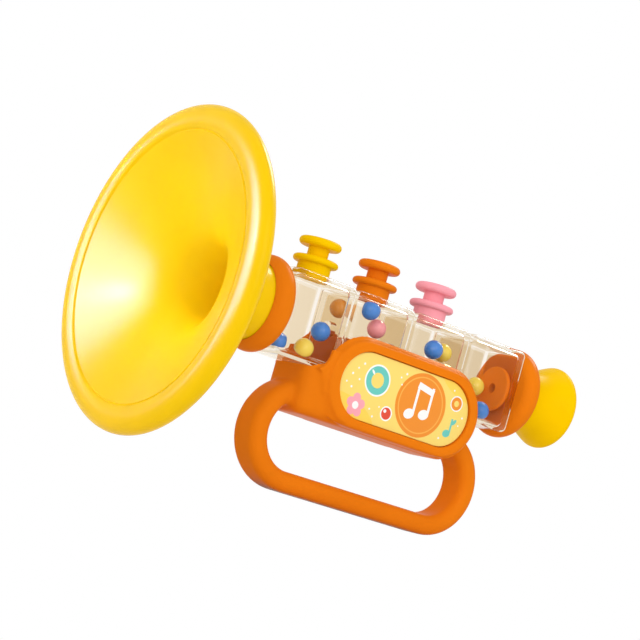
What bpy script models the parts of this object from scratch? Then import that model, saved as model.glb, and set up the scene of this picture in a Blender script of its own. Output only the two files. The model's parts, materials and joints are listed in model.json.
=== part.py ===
"""A toy trumpet with a round bell, a row of clear bead boxes, three press valves and a loop handle.

The trumpet lies along X, with the bell at -X, the mouthpiece at +X and the valves up.
It stands on the flat bottom of its handle, and the origin is at the bottom centre of its box.
"""

import math

import bmesh
import bpy
from mathutils import Matrix, Vector
from mathutils.geometry import interpolate_bezier

MM = 0.001

# Gaps and overruns shared by all the pieces
SEAT_GAP = 0.3 * MM
SEAM_GAP = 0.3 * MM
CUT_OVERRUN = 4.0 * MM
WELD_DISTANCE = 0.01 * MM

# Clear case: a row of box cells, split into a front and a rear half
CELL_COUNT = 4
CELL_PITCH = 32.0 * MM
CELL_GROOVE = 0.8 * MM
CELL_EDGE_ROUND = 2.4 * MM
CELL_INNER_ROUND = 2.6 * MM
CASE_HEIGHT = 36.0 * MM
CASE_DEPTH = 27.0 * MM
CASE_WALL = 1.8 * MM
GROOVE_DEPTH = 1.2 * MM
AIR_HOLE_RADIUS = 3.0 * MM

# Collars that the bell and the mouthpiece plug into
HUB_RADIUS = 7.5 * MM
HUB_FLANGE_RADIUS = 9.8 * MM
HUB_FLANGE_THICKNESS = 1.6 * MM
HUB_BORE_RADIUS = 2.2 * MM
FRONT_COLLAR_RADIUS = 19.8 * MM
FRONT_COLLAR_WIDTH = 10.4 * MM
FRONT_COLLAR_ROUND = 4.9 * MM
FRONT_SOCKET_DEPTH = 8.0 * MM
REAR_COLLAR_RADIUS = 19.8 * MM
REAR_COLLAR_WIDTH = 8.7 * MM
REAR_COLLAR_ROUND = 4.2 * MM
REAR_SOCKET_DEPTH = 5.5 * MM

# Bell: a thin dish with a rounded lip and a spigot
BELL_RADIUS = 66.8 * MM
BELL_LENGTH = 54.6 * MM
BELL_WALL = 2.2 * MM
BELL_LIP_HEIGHT = 6.6 * MM
BELL_LIP_DEPTH = 4.8 * MM
BELL_LIP_START_DEG = -50.0
BELL_LIP_END_DEG = 128.0
BELL_GROOVE_DEPTH = 0.7 * MM
BELL_GROOVE_WIDTH = 0.9 * MM
BELL_FLARE_LENGTH = 41.0 * MM
BELL_SPIGOT_RADIUS = 16.3 * MM
BELL_RIM_HANDLE = (16.8 * MM, 36.3 * MM)
BELL_THROAT_HANDLE = 20.0 * MM

# Mouthpiece: a flared cup with a rounded rim and a spigot
MOUTH_LENGTH = 23.0 * MM
MOUTH_RIM_RADIUS = 18.2 * MM
MOUTH_RIM_ROUND = 2.75 * MM
MOUTH_WAIST_RADIUS = 12.5 * MM
MOUTH_SPIGOT_RADIUS = 12.5 * MM
MOUTH_CUP_DEPTH = 14.0 * MM
MOUTH_BORE_RADIUS = 4.5 * MM
MOUTH_WALL = 2.2 * MM

# Whistle in the mouthpiece's bore
WHISTLE_RADIUS = 4.2 * MM
WHISTLE_BORE_RADIUS = 2.4 * MM
WHISTLE_LENGTH = 9.0 * MM
REED_LENGTH = 7.6 * MM
REED_WIDTH = 3.0 * MM
REED_THICKNESS = 0.4 * MM

# Valves: a fixed cap, a sprung button and its spring
VALVE_COUNT = 3
VALVE_TRAVEL = 3.0 * MM
CAP_SPIGOT_RADIUS = 6.2 * MM
CAP_BASE_RADIUS = 7.0 * MM
CAP_BASE_HEIGHT = 4.4 * MM
CAP_DISC_RADIUS = 9.6 * MM
CAP_DISC_THICKNESS = 2.8 * MM
CAP_FLOOR = 1.0 * MM
CAP_LIP = 1.2 * MM
CAP_CAVITY_RADIUS = 5.3 * MM
BUTTON_NECK_RADIUS = 4.4 * MM
BUTTON_FLANGE_RADIUS = 5.0 * MM
BUTTON_FLANGE_THICKNESS = 0.9 * MM
BUTTON_DISC_RADIUS = 9.0 * MM
BUTTON_DISC_THICKNESS = 3.5 * MM
BUTTON_DOME = 0.5 * MM
BUTTON_NECK_SHOWN = 4.3 * MM
SPRING_RADIUS = 4.0 * MM
SPRING_WIRE_RADIUS = 0.25 * MM
SPRING_TURNS = 3.0

# Handle: a loop, a saddle under the case and a badge frame on each side, split into two halves
LOOP_LENGTH = 121.2 * MM
LOOP_HEIGHT = 46.5 * MM
LOOP_CENTRE_X = 0.4 * MM
LOOP_THICKNESS = 8.6 * MM
LOOP_DEPTH = 16.4 * MM
LOOP_ROUND = 3.8 * MM
HANDLE_DROP = 51.8 * MM
SHELL_WALL = 1.9 * MM
SADDLE_LEFT = 46.6 * MM
SADDLE_RIGHT = 38.0 * MM
SADDLE_DEPTH = 27.9 * MM
SADDLE_HEIGHT = 19.5 * MM
SADDLE_END_ROUND = 6.0 * MM
SADDLE_BOTTOM_ROUND = 5.0 * MM
BADGE_CENTRE_X = 2.5 * MM
BADGE_CENTRE_DROP = 19.1 * MM
BADGE_LENGTH = 81.0 * MM
BADGE_HEIGHT = 36.7 * MM
BADGE_RIM_WIDTH = 4.0 * MM
BADGE_END_WIDTH = 5.2 * MM
BADGE_RIM_STAND = 4.2 * MM
BADGE_RIM_ROUND = 1.7 * MM
BADGE_FLARE = 2.2 * MM
BADGE_FLARE_SHARES = ((0.0, 1.0), (0.16, 0.78), (0.36, 0.3), (0.55, 0.0))
BADGE_FLOOR = 1.9 * MM
BADGE_PLATE_THICKNESS = 1.0 * MM
WEB_REACH = 3.4 * MM
WEB_RISE = 8.0 * MM
WEB_THICKNESS = 2.2 * MM
WEB_TOP_SHARE = 0.35
WEB_LIFT = 0.1 * MM
ROOT_DEPTH = 1.2 * MM
ROOT_INSET = 0.6 * MM

# Handle screws, driven from the rear
SCREW_HEAD_RADIUS = 2.2 * MM
SCREW_HEAD_HEIGHT = 1.6 * MM
SCREW_SHANK_RADIUS = 1.2 * MM
SCREW_SHANK_LENGTH = 10.6 * MM
SCREW_TIP = 1.2 * MM
SCREW_SEAT_Y = 5.0 * MM
BOSS_RADIUS = 3.0 * MM
BOSS_TOP_GAP = 1.4 * MM
BOSS_SEAM_GAP = 0.2 * MM
SADDLE_BOSS_RADIUS = 4.0 * MM
SADDLE_SCREW_INSET = 4.6 * MM
SADDLE_SCREW_RISE = 9.4 * MM
LOOP_SCREW_ANGLES_DEG = (219.0, 322.0, 38.0)

# Beads: cell number, then shares of the free room in the cell from its middle, along X, Y and Z
BEAD_RADIUS = 4.05 * MM
BEAD_PLACE_SHARES = {
    "bead_yellow_1": (0, 0.05, -0.99, -0.98),
    "bead_blue_1": (0, 0.94, -0.46, -0.23),
    "bead_blue_2": (0, -0.72, 0.20, -0.98),
    "bead_blue_3": (1, -0.43, -0.99, 0.99),
    "bead_pink_1": (1, 0.48, -0.39, 0.52),
    "bead_orange_1": (1, -0.97, 0.66, 0.82),
    "bead_blue_4": (2, 0.11, -0.99, 0.48),
    "bead_yellow_2": (2, 0.98, -0.43, 0.53),
    "bead_yellow_3": (3, 0.70, 0.65, -0.09),
    "bead_blue_5": (3, 0.24, -0.99, -0.98),
}

# Face counts of the round pieces
BELL_SEGMENTS = 40
COLLAR_SEGMENTS = 30
MOUTH_SEGMENTS = 28
VALVE_SEGMENTS = 18
SMALL_SEGMENTS = 10
BEAD_SEGMENTS = 12
BEAD_RINGS = 8
ARC_STEPS = 6
LOOP_ARC_STEPS = 10
BADGE_ARC_STEPS = 9
SMALL_ARC_STEPS = 3

# Colours of the moulded plastics
COLOURS = {
    "yellow": (1.0, 0.63, 0.0),
    "orange": (0.92, 0.23, 0.01),
    "pink": (0.93, 0.25, 0.34),
    "blue": (0.04, 0.15, 0.62),
    "clear": (0.93, 0.86, 0.70),
    "badge": (0.98, 0.72, 0.18),
    "white": (0.90, 0.90, 0.88),
    "steel": (0.60, 0.60, 0.62),
    "brass": (0.80, 0.60, 0.25),
}

# Places worked out from the sizes above
CASE_LENGTH = CELL_COUNT * CELL_PITCH - CELL_GROOVE
CASE_END = CASE_LENGTH / 2
CASE_TOP = CASE_HEIGHT / 2
CASE_SIDE = CASE_DEPTH / 2
CELL_LENGTH = CELL_PITCH - CELL_GROOVE
FRONT_COLLAR_END = CASE_END + SEAT_GAP + FRONT_COLLAR_WIDTH
REAR_COLLAR_END = CASE_END + SEAT_GAP + REAR_COLLAR_WIDTH
BELL_BACK = FRONT_COLLAR_END - FRONT_SOCKET_DEPTH + SEAT_GAP
BELL_FRONT = BELL_BACK + BELL_LENGTH
MOUTH_END = REAR_COLLAR_END + SEAT_GAP + MOUTH_LENGTH
SADDLE_TOP = CASE_TOP + SEAT_GAP
SADDLE_BOTTOM = SADDLE_TOP + SADDLE_HEIGHT
LOOP_CENTRE_DROP = CASE_TOP + HANDLE_DROP - LOOP_HEIGHT / 2
LOOP_MID_RADIUS = (LOOP_HEIGHT - LOOP_THICKNESS) / 2
LOOP_STRAIGHT = (LOOP_LENGTH - LOOP_HEIGHT) / 2
BADGE_INNER_Y = CASE_SIDE + SEAT_GAP
BADGE_OUTER_Y = BADGE_INNER_Y + BADGE_RIM_STAND
AXIS_HEIGHT = CASE_TOP + HANDLE_DROP
CENTRE_SHIFT = (BELL_FRONT - MOUTH_END) / 2


def clear_scene():
    for item in list(bpy.data.objects):
        bpy.data.objects.remove(item, do_unlink=True)


def make_material(name, roughness=0.3, metallic=0.0, alpha=1.0):
    material = bpy.data.materials.new(name)
    material.use_nodes = True
    shader = material.node_tree.nodes["Principled BSDF"]
    red, green, blue = COLOURS[name]
    shader.inputs["Base Color"].default_value = (red, green, blue, 1.0)
    shader.inputs["Roughness"].default_value = roughness
    shader.inputs["Metallic"].default_value = metallic
    shader.inputs["Alpha"].default_value = alpha
    material.diffuse_color = (red, green, blue, alpha)
    return material


def add_object(name, mesh_data, material, parent, smooth_deg=40.0):
    """Turn a bmesh into a named object on its parent."""
    bmesh.ops.remove_doubles(mesh_data, verts=mesh_data.verts, dist=0.001 * MM)
    bmesh.ops.recalc_face_normals(mesh_data, faces=mesh_data.faces)
    mesh = bpy.data.meshes.new(name)
    mesh_data.to_mesh(mesh)
    mesh_data.free()
    mesh.shade_smooth()
    mesh.set_sharp_from_angle(angle=math.radians(smooth_deg))
    item = bpy.data.objects.new(name, mesh)
    bpy.context.scene.collection.objects.link(item)
    item.parent = parent
    if material is not None:
        mesh.materials.append(material)
    return item


def add_empty(name, location, parent=None):
    empty = bpy.data.objects.new(name, None)
    empty.location = location
    empty.parent = parent
    bpy.context.scene.collection.objects.link(empty)
    return empty


def apply_boolean(target, tool, operation):
    """Join a tool to a target or cut it away, leaving the tool as a hidden guide."""
    tool.hide_render = True
    tool.display_type = "WIRE"
    modifier = target.modifiers.new(tool.name, "BOOLEAN")
    modifier.operation = operation
    modifier.solver = "EXACT"
    modifier.object = tool
    weld = target.modifiers.new(tool.name + "_weld", "WELD")
    weld.merge_threshold = WELD_DISTANCE


def revolve(outline, segments, axis):
    """Turn an outline of (along, radius) points about X, Y or Z into a closed bmesh."""
    mesh_data = bmesh.new()
    add_turned(mesh_data, outline, segments, axis, Vector())
    return mesh_data


def add_turned(mesh_data, outline, segments, axis, place):
    """Add a turned solid to a bmesh, moved to its place."""
    rings = []
    for along, radius in outline:
        if radius == 0:
            rings.append([mesh_data.verts.new(place + turn_point(along, 0, 0, axis))])
            continue
        ring = []
        for index in range(segments):
            angle = 2 * math.pi * index / segments
            ring.append(mesh_data.verts.new(place + turn_point(along, radius, angle, axis)))
        rings.append(ring)
    pairs = list(zip(rings, rings[1:]))
    if outline[0][1] > 0:
        pairs.append((rings[-1], rings[0]))
    for first, second in pairs:
        bridge_rings(mesh_data, first, second, segments)


def turn_point(along, radius, angle, axis):
    across = radius * math.cos(angle)
    up = radius * math.sin(angle)
    if axis == "X":
        return Vector((along, across, up))
    if axis == "Y":
        return Vector((across, along, up))
    return Vector((across, up, along))


def bridge_rings(mesh_data, first, second, segments):
    for index in range(segments):
        after = (index + 1) % segments
        if len(first) == 1:
            mesh_data.faces.new((first[0], second[index], second[after]))
        elif len(second) == 1:
            mesh_data.faces.new((first[index], first[after], second[0]))
        else:
            mesh_data.faces.new((first[index], first[after], second[after], second[index]))


def arc_points(centre, radii, start_deg, end_deg, steps):
    """Points of an elliptical arc, as (centre + cos, centre + sin)."""
    points = []
    for step in range(steps + 1):
        angle = math.radians(start_deg + (end_deg - start_deg) * step / steps)
        across = centre[0] + radii[0] * math.cos(angle)
        up = centre[1] + radii[1] * math.sin(angle)
        points.append((across, up))
    return points


def stadium(centre, length, height, steps):
    radius = height / 2
    reach = length / 2 - radius
    right = arc_points((centre[0] + reach, centre[1]), (radius, radius), -90, 90, steps)
    left = arc_points((centre[0] - reach, centre[1]), (radius, radius), 90, 270, steps)
    return right + left


def slab(outline, inner_y, outer_y):
    """Extrude an XZ outline from one Y to another."""
    mesh_data = bmesh.new()
    ring = [mesh_data.verts.new((x, outer_y, z)) for x, z in outline]
    face = mesh_data.faces.new(ring)
    moved = bmesh.ops.extrude_face_region(mesh_data, geom=[face])
    inner_verts = [item for item in moved["geom"] if isinstance(item, bmesh.types.BMVert)]
    bmesh.ops.translate(mesh_data, verts=inner_verts, vec=(0, inner_y - outer_y, 0))
    bmesh.ops.recalc_face_normals(mesh_data, faces=mesh_data.faces)
    return mesh_data


def cylinder(mesh_data, start, end, radius, segments):
    """Add a plain cylinder between two points."""
    axis = end - start
    turn = Vector((0, 0, 1)).rotation_difference(axis).to_matrix().to_4x4()
    place = Matrix.Translation((start + end) / 2) @ turn
    bmesh.ops.create_cone(
        mesh_data, cap_ends=True, segments=segments, radius1=radius, radius2=radius,
        depth=axis.length, matrix=place,
    )


def rounded_box(mesh_data, low, high, radius, steps):
    """Add a box with all its edges rounded."""
    size = high - low
    place = Matrix.Translation((low + high) / 2) @ Matrix.Diagonal((*size, 1.0))
    made = bmesh.ops.create_cube(mesh_data, size=1.0, matrix=place)
    edges = set()
    for vert in made["verts"]:
        edges.update(vert.link_edges)
    if radius > 0:
        bmesh.ops.bevel(
            mesh_data, geom=list(edges), offset=radius, segments=steps, profile=0.5,
            affect="EDGES", clamp_overlap=True,
        )


def cell_centre(index):
    return (index - (CELL_COUNT - 1) / 2) * CELL_PITCH


def half_space(side):
    """A cutter that takes away everything on the far side of the seam."""
    reach = CASE_END + SADDLE_LEFT
    mesh_data = bmesh.new()
    near = -side * reach
    far = side * SEAM_GAP / 2
    low = Vector((-reach, min(near, far), -reach))
    high = Vector((reach, max(near, far), reach))
    rounded_box(mesh_data, low, high, 0, 1)
    return mesh_data


def case_half(name, side, material, parent):
    """Half of the clear case: rounded cells on a spine, each with a pocket for its beads."""
    cells = bmesh.new()
    pockets = bmesh.new()
    for index in range(CELL_COUNT):
        centre = cell_centre(index)
        reach = Vector((CELL_LENGTH / 2, CASE_SIDE, CASE_TOP))
        middle = Vector((centre, 0, 0))
        rounded_box(cells, middle - reach, middle + reach, CELL_EDGE_ROUND, 2)
        inner = reach - Vector((CASE_WALL, CASE_WALL, CASE_WALL))
        rounded_box(pockets, middle - inner, middle + inner, CELL_INNER_ROUND, 2)
    case = add_object(name, cells, material, parent)
    spine = bmesh.new()
    spine_reach = Vector((
        CASE_END - CELL_LENGTH / 2, CASE_SIDE - GROOVE_DEPTH, CASE_TOP - GROOVE_DEPTH,
    ))
    rounded_box(spine, -spine_reach, spine_reach, 0, 1)
    apply_boolean(case, add_object(name + "_spine_guide", spine, None, parent), "UNION")
    apply_boolean(case, add_object(name + "_pocket_guide", pockets, None, parent), "DIFFERENCE")
    holes = case_holes()
    apply_boolean(case, add_object(name + "_hole_guide", holes, None, parent), "DIFFERENCE")
    cut = add_object(name + "_seam_guide", half_space(side), None, parent)
    apply_boolean(case, cut, "DIFFERENCE")
    return case


def case_holes():
    """Hub holes in both ends, air holes in the dividers and valve holes in the top."""
    holes = bmesh.new()
    wall_end = CASE_END - CASE_WALL / 2
    for side in (-1, 1):
        start = Vector((side * (wall_end - CASE_WALL), 0, 0))
        end = Vector((side * (CASE_END + CUT_OVERRUN), 0, 0))
        cylinder(holes, start, end, HUB_RADIUS + SEAT_GAP, VALVE_SEGMENTS)
    reach = Vector((cell_centre(CELL_COUNT - 1), 0, 0))
    cylinder(holes, -reach, reach, AIR_HOLE_RADIUS, SMALL_SEGMENTS)
    for index in range(VALVE_COUNT):
        x = cell_centre(index)
        start = Vector((x, 0, CASE_TOP - CASE_WALL * 2))
        end = Vector((x, 0, CASE_TOP + CUT_OVERRUN))
        cylinder(holes, start, end, CAP_SPIGOT_RADIUS + SEAT_GAP, VALVE_SEGMENTS)
    return holes


def collar_outline(radius, width, edge, socket_radius, socket_depth):
    """Half section of a collar, as (distance out from the case end, radius)."""
    flange_out = -CASE_WALL - SEAT_GAP
    flange_in = flange_out - HUB_FLANGE_THICKNESS
    face = SEAT_GAP + width
    cut = math.degrees(math.asin(max(0.0, (socket_radius - radius + edge) / edge)))
    inner_arc = arc_points((SEAT_GAP + edge, radius - edge), (edge, edge), 180, 90, ARC_STEPS // 2)
    outer_arc = arc_points((face - edge, radius - edge), (edge, edge), 90, cut, ARC_STEPS // 2)
    outline = [
        (flange_in, HUB_BORE_RADIUS),
        (flange_in, HUB_FLANGE_RADIUS),
        (flange_out, HUB_FLANGE_RADIUS),
        (flange_out, HUB_RADIUS),
        (SEAT_GAP, HUB_RADIUS),
    ]
    outline += inner_arc + outer_arc
    if socket_radius < radius - edge:
        outline.append((face, socket_radius))
    outline.append((face - socket_depth, socket_radius))
    outline.append((face - socket_depth, HUB_BORE_RADIUS))
    return outline


def place_outline(outline, side, start):
    """Move an outline to one end of the trumpet: side is -1 at the bell and 1 at the mouthpiece."""
    return [(side * (start + along), radius) for along, radius in outline]


def front_collar(material, parent):
    outline = collar_outline(
        FRONT_COLLAR_RADIUS, FRONT_COLLAR_WIDTH, FRONT_COLLAR_ROUND,
        BELL_SPIGOT_RADIUS + SEAT_GAP, FRONT_SOCKET_DEPTH,
    )
    placed = place_outline(outline, -1, CASE_END)
    return add_object("front_collar", revolve(placed, COLLAR_SEGMENTS, "X"), material, parent)


def rear_collar(material, parent):
    outline = collar_outline(
        REAR_COLLAR_RADIUS, REAR_COLLAR_WIDTH, REAR_COLLAR_ROUND,
        MOUTH_SPIGOT_RADIUS + SEAT_GAP, REAR_SOCKET_DEPTH,
    )
    placed = place_outline(outline, 1, CASE_END)
    return add_object("rear_collar", revolve(placed, COLLAR_SEGMENTS, "X"), material, parent)


def bezier_curve(start, start_handle, end_handle, end, points):
    """Smooth curve in the plane, as (along, radius) pairs."""
    corners = [Vector((*point, 0)) for point in (start, start_handle, end_handle, end)]
    return [(point.x, point.y) for point in interpolate_bezier(*corners, points)]


def offset_curve(curve, distance):
    """The same curve moved sideways by a wall's thickness."""
    moved = []
    for index, point in enumerate(curve):
        before = Vector(curve[max(index - 1, 0)])
        after = Vector(curve[min(index + 1, len(curve) - 1)])
        along = (after - before).normalized()
        moved.append((point[0] + along.y * distance, point[1] - along.x * distance))
    return moved


def bell(material, parent):
    """A dish of even wall with a rolled lip, turned about X."""
    lip_centre = (-BELL_LIP_DEPTH, BELL_RADIUS - BELL_LIP_HEIGHT)
    lip_outer = []
    lip_inner = []
    for step in range(ARC_STEPS + 1):
        share = step / ARC_STEPS
        angle = math.radians(BELL_LIP_START_DEG + (BELL_LIP_END_DEG - BELL_LIP_START_DEG) * share)
        lip_outer.append((
            lip_centre[0] + BELL_LIP_DEPTH * math.sin(angle),
            lip_centre[1] + BELL_LIP_HEIGHT * math.cos(angle),
        ))
        lip_inner.append((
            lip_centre[0] + (BELL_LIP_DEPTH - BELL_WALL) * math.sin(angle),
            lip_centre[1] + (BELL_LIP_HEIGHT - BELL_WALL) * math.cos(angle),
        ))
    lip_x, lip_radius = lip_outer[-1]
    groove = (lip_x - BELL_GROOVE_DEPTH, lip_radius - BELL_GROOVE_WIDTH / 2)
    dish_start = (lip_x - BELL_GROOVE_DEPTH / 3, lip_radius - BELL_GROOVE_WIDTH)
    throat_radius = BELL_SPIGOT_RADIUS - BELL_WALL
    throat = (-BELL_FLARE_LENGTH, throat_radius)
    rim_handle = (dish_start[0] - BELL_RIM_HANDLE[0], dish_start[1] - BELL_RIM_HANDLE[1])
    throat_handle = (throat[0] + BELL_THROAT_HANDLE, throat_radius)
    flare = bezier_curve(dish_start, rim_handle, throat_handle, throat, ARC_STEPS + 4)
    back = offset_curve(flare, BELL_WALL)
    outline = lip_outer + [groove] + flare
    outline += [(-BELL_LENGTH, throat_radius), (-BELL_LENGTH, BELL_SPIGOT_RADIUS)]
    outline += [(throat[0], BELL_SPIGOT_RADIUS)]
    outline += list(reversed(back[1:-1]))
    outline += list(reversed(lip_inner[::2]))
    placed = [(-BELL_FRONT - along, radius) for along, radius in outline]
    return add_object("bell", revolve(placed, BELL_SEGMENTS, "X"), material, parent)


def mouthpiece(material, parent):
    """A flared cup, with a spigot in the rear collar and a bore for the whistle."""
    rim_centre = (MOUTH_LENGTH - MOUTH_RIM_ROUND, MOUTH_RIM_RADIUS - MOUTH_RIM_ROUND)
    rim = arc_points(rim_centre, (MOUTH_RIM_ROUND, MOUTH_RIM_ROUND), 120, -60, ARC_STEPS)
    waist = (0, MOUTH_WAIST_RADIUS)
    waist_handle = (MOUTH_LENGTH * 0.45, MOUTH_WAIST_RADIUS)
    slope = MOUTH_RIM_ROUND * 1.2
    rim_handle = (rim[0][0] - slope, rim[0][1] - slope * 0.7)
    flare = bezier_curve(waist, waist_handle, rim_handle, rim[0], ARC_STEPS)
    cup_bottom = (MOUTH_LENGTH - MOUTH_CUP_DEPTH, MOUTH_BORE_RADIUS)
    cup_start_handle = (rim[-1][0] - MOUTH_RIM_ROUND, rim[-1][1] - MOUTH_RIM_ROUND)
    cup_end_handle = (cup_bottom[0] + MOUTH_CUP_DEPTH / 4, cup_bottom[1] + MOUTH_CUP_DEPTH / 8)
    cup = bezier_curve(rim[-1], cup_start_handle, cup_end_handle, cup_bottom, ARC_STEPS)
    spigot_end = SEAT_GAP - REAR_SOCKET_DEPTH
    outline = [(spigot_end, MOUTH_SPIGOT_RADIUS)]
    outline += flare + rim[1:] + cup[1:]
    outline += [(spigot_end, MOUTH_BORE_RADIUS)]
    placed = place_outline(outline, 1, REAR_COLLAR_END + SEAT_GAP)
    return add_object("mouthpiece", revolve(placed, MOUTH_SEGMENTS, "X"), material, parent)


def whistle(material, reed_material, parent):
    """A tube in the mouthpiece's bore, with a reed lying along its middle."""
    start = REAR_COLLAR_END + SEAT_GAP * 2 - REAR_SOCKET_DEPTH
    outline = [
        (0, WHISTLE_BORE_RADIUS),
        (0, WHISTLE_RADIUS),
        (WHISTLE_LENGTH, WHISTLE_RADIUS),
        (WHISTLE_LENGTH, WHISTLE_BORE_RADIUS),
    ]
    placed = place_outline(outline, 1, start)
    tube = add_object("whistle_tube", revolve(placed, VALVE_SEGMENTS, "X"), material, parent)
    reed = bmesh.new()
    middle = Vector((start + WHISTLE_LENGTH / 2, 0, 0))
    reach = Vector((REED_LENGTH, REED_WIDTH, REED_THICKNESS)) / 2
    rounded_box(reed, middle - reach, middle + reach, 0, 1)
    add_object("whistle_reed", reed, reed_material, parent)
    return tube


def disc_edge(radius, low, high, inner_radius):
    """The rounded rim of a valve disc, from its lower face out and up to its upper face."""
    edge = (high - low) / 2
    rim = arc_points((radius - edge, low + edge), (edge, edge), -90, 90, ARC_STEPS // 2 + 2)
    return [(low, inner_radius)] + [(up, across) for across, up in rim]


def valve_cap(name, material, parent):
    """The fixed lower half of a valve: a cup that plugs into the top of the case."""
    base = CASE_TOP + SEAT_GAP
    floor = CASE_TOP - CASE_WALL + SEAT_GAP
    disc_low = CASE_TOP + CAP_BASE_HEIGHT
    disc_high = disc_low + CAP_DISC_THICKNESS
    lip_radius = BUTTON_NECK_RADIUS + SEAT_GAP
    outline = [(floor, 0), (floor, CAP_SPIGOT_RADIUS), (base, CAP_SPIGOT_RADIUS)]
    outline += [(base, CAP_BASE_RADIUS)]
    outline += disc_edge(CAP_DISC_RADIUS, disc_low, disc_high, CAP_BASE_RADIUS)
    outline += [
        (disc_high, lip_radius),
        (disc_high - CAP_LIP, lip_radius),
        (disc_high - CAP_LIP, CAP_CAVITY_RADIUS),
        (floor + CAP_FLOOR, CAP_CAVITY_RADIUS),
        (floor + CAP_FLOOR, 0),
    ]
    return add_object(name, revolve(outline, VALVE_SEGMENTS, "Z"), material, parent)


def valve_button(name, material, parent):
    """The pressed upper half of a valve: a disc on a neck with a flange that the cap holds."""
    cap_top = CASE_TOP + CAP_BASE_HEIGHT + CAP_DISC_THICKNESS
    flange_high = cap_top - CAP_LIP - SEAT_GAP
    flange_low = flange_high - BUTTON_FLANGE_THICKNESS
    disc_low = cap_top + BUTTON_NECK_SHOWN
    disc_high = disc_low + BUTTON_DISC_THICKNESS
    outline = [(flange_low, 0), (flange_low, BUTTON_FLANGE_RADIUS)]
    outline += [(flange_high, BUTTON_FLANGE_RADIUS), (flange_high, BUTTON_NECK_RADIUS)]
    outline += disc_edge(BUTTON_DISC_RADIUS, disc_low, disc_high, BUTTON_NECK_RADIUS)
    outline += [
        (disc_high + BUTTON_DOME * 0.75, BUTTON_DISC_RADIUS / 2),
        (disc_high + BUTTON_DOME, 0),
    ]
    return add_object(name, revolve(outline, VALVE_SEGMENTS, "Z"), material, parent)


def valve_spring(name, material, parent):
    """A short coil between the cap's floor and the button's flange."""
    floor = CASE_TOP - CASE_WALL + SEAT_GAP + CAP_FLOOR
    cap_top = CASE_TOP + CAP_BASE_HEIGHT + CAP_DISC_THICKNESS
    flange_low = cap_top - CAP_LIP - SEAT_GAP - BUTTON_FLANGE_THICKNESS
    low = floor + SEAT_GAP / 2 + SPRING_WIRE_RADIUS
    high = flange_low - SEAT_GAP / 2 - SPRING_WIRE_RADIUS
    curve = bpy.data.curves.new(name, "CURVE")
    curve.dimensions = "3D"
    curve.bevel_depth = SPRING_WIRE_RADIUS
    curve.bevel_resolution = 0
    curve.use_fill_caps = True
    spline = curve.splines.new("POLY")
    count = int(SPRING_TURNS * SMALL_SEGMENTS) + 1
    spline.points.add(count - 1)
    for index, point in enumerate(spline.points):
        share = index / (count - 1)
        angle = 2 * math.pi * SPRING_TURNS * share
        height = low + (high - low) * share
        across = SPRING_RADIUS * math.cos(angle)
        aside = SPRING_RADIUS * math.sin(angle)
        point.co = (across, aside, height, 1.0)
    curve.materials.append(material)
    item = bpy.data.objects.new(name, curve)
    item.parent = parent
    bpy.context.scene.collection.objects.link(item)
    return item


def loop_section(thickness, depth, round_radius, side):
    """Half of the loop's section, as (outward from the mid line, Y), from the seam and back."""
    half = thickness / 2
    seam_y = SEAM_GAP / 2
    outer_y = depth / 2
    first = arc_points(
        (-half + round_radius, outer_y - round_radius), (round_radius, round_radius),
        180, 90, SMALL_ARC_STEPS,
    )
    second = arc_points(
        (half - round_radius, outer_y - round_radius), (round_radius, round_radius),
        90, 0, SMALL_ARC_STEPS,
    )
    points = [(-half, seam_y)] + first + second + [(half, seam_y)]
    return [(outward, side * y) for outward, y in points]


def loop_path(steps):
    """Stations round the loop's mid line, as (x, z, outward x, outward z)."""
    stations = []
    for side, start_deg in ((1, -90), (-1, 90)):
        for step in range(steps + 1):
            angle = math.radians(start_deg + 180 * step / steps)
            out_x = math.cos(angle)
            out_z = math.sin(angle)
            x = LOOP_CENTRE_X + side * LOOP_STRAIGHT + LOOP_MID_RADIUS * out_x
            z = -LOOP_CENTRE_DROP + LOOP_MID_RADIUS * out_z
            stations.append((x, z, out_x, out_z))
    return stations


def loop_solid(section, steps):
    """Sweep a section round the loop."""
    mesh_data = bmesh.new()
    rings = []
    for x, z, out_x, out_z in loop_path(steps):
        ring = []
        for outward, y in section:
            ring.append(mesh_data.verts.new((x + out_x * outward, y, z + out_z * outward)))
        rings.append(ring)
    for index, ring in enumerate(rings):
        bridge_rings(mesh_data, ring, rings[(index + 1) % len(rings)], len(section))
    bmesh.ops.recalc_face_normals(mesh_data, faces=mesh_data.faces)
    return mesh_data


def loft(levels):
    """Bridge a row of point loops with equal counts into a closed bmesh."""
    mesh_data = bmesh.new()
    rings = [[mesh_data.verts.new(point) for point in level] for level in levels]
    for first, second in zip(rings, rings[1:]):
        bridge_rings(mesh_data, first, second, len(first))
    mesh_data.faces.new(rings[0])
    mesh_data.faces.new(rings[-1])
    bmesh.ops.recalc_face_normals(mesh_data, faces=mesh_data.faces)
    return mesh_data


def saddle_body(side, inset, seam_y, steps):
    """Half of the saddle, with upright rounded end edges and a rounded underside."""
    levels = []
    floor = -SADDLE_BOTTOM + inset
    curve = SADDLE_BOTTOM_ROUND - inset
    heights = [(-SADDLE_TOP - inset, 0.0)]
    for step in range(steps + 1):
        angle = math.radians(90 * step / steps)
        heights.append((floor + curve * (1 - math.sin(angle)), curve * (1 - math.cos(angle))))
    for z, pull in heights:
        reach = SADDLE_DEPTH / 2 - inset - pull
        end_round = SADDLE_END_ROUND - inset - pull / 2
        left = -SADDLE_LEFT + inset + pull
        right = SADDLE_RIGHT - inset - pull
        outline = arc_points(
            (left + end_round, reach - end_round), (end_round, end_round), 180, 90, steps,
        )
        outline += arc_points(
            (right - end_round, reach - end_round), (end_round, end_round), 90, 0, steps,
        )
        outline = [(left, seam_y)] + outline + [(right, seam_y)]
        levels.append([(x, side * y, z) for x, y in outline])
    return loft(levels)


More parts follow.
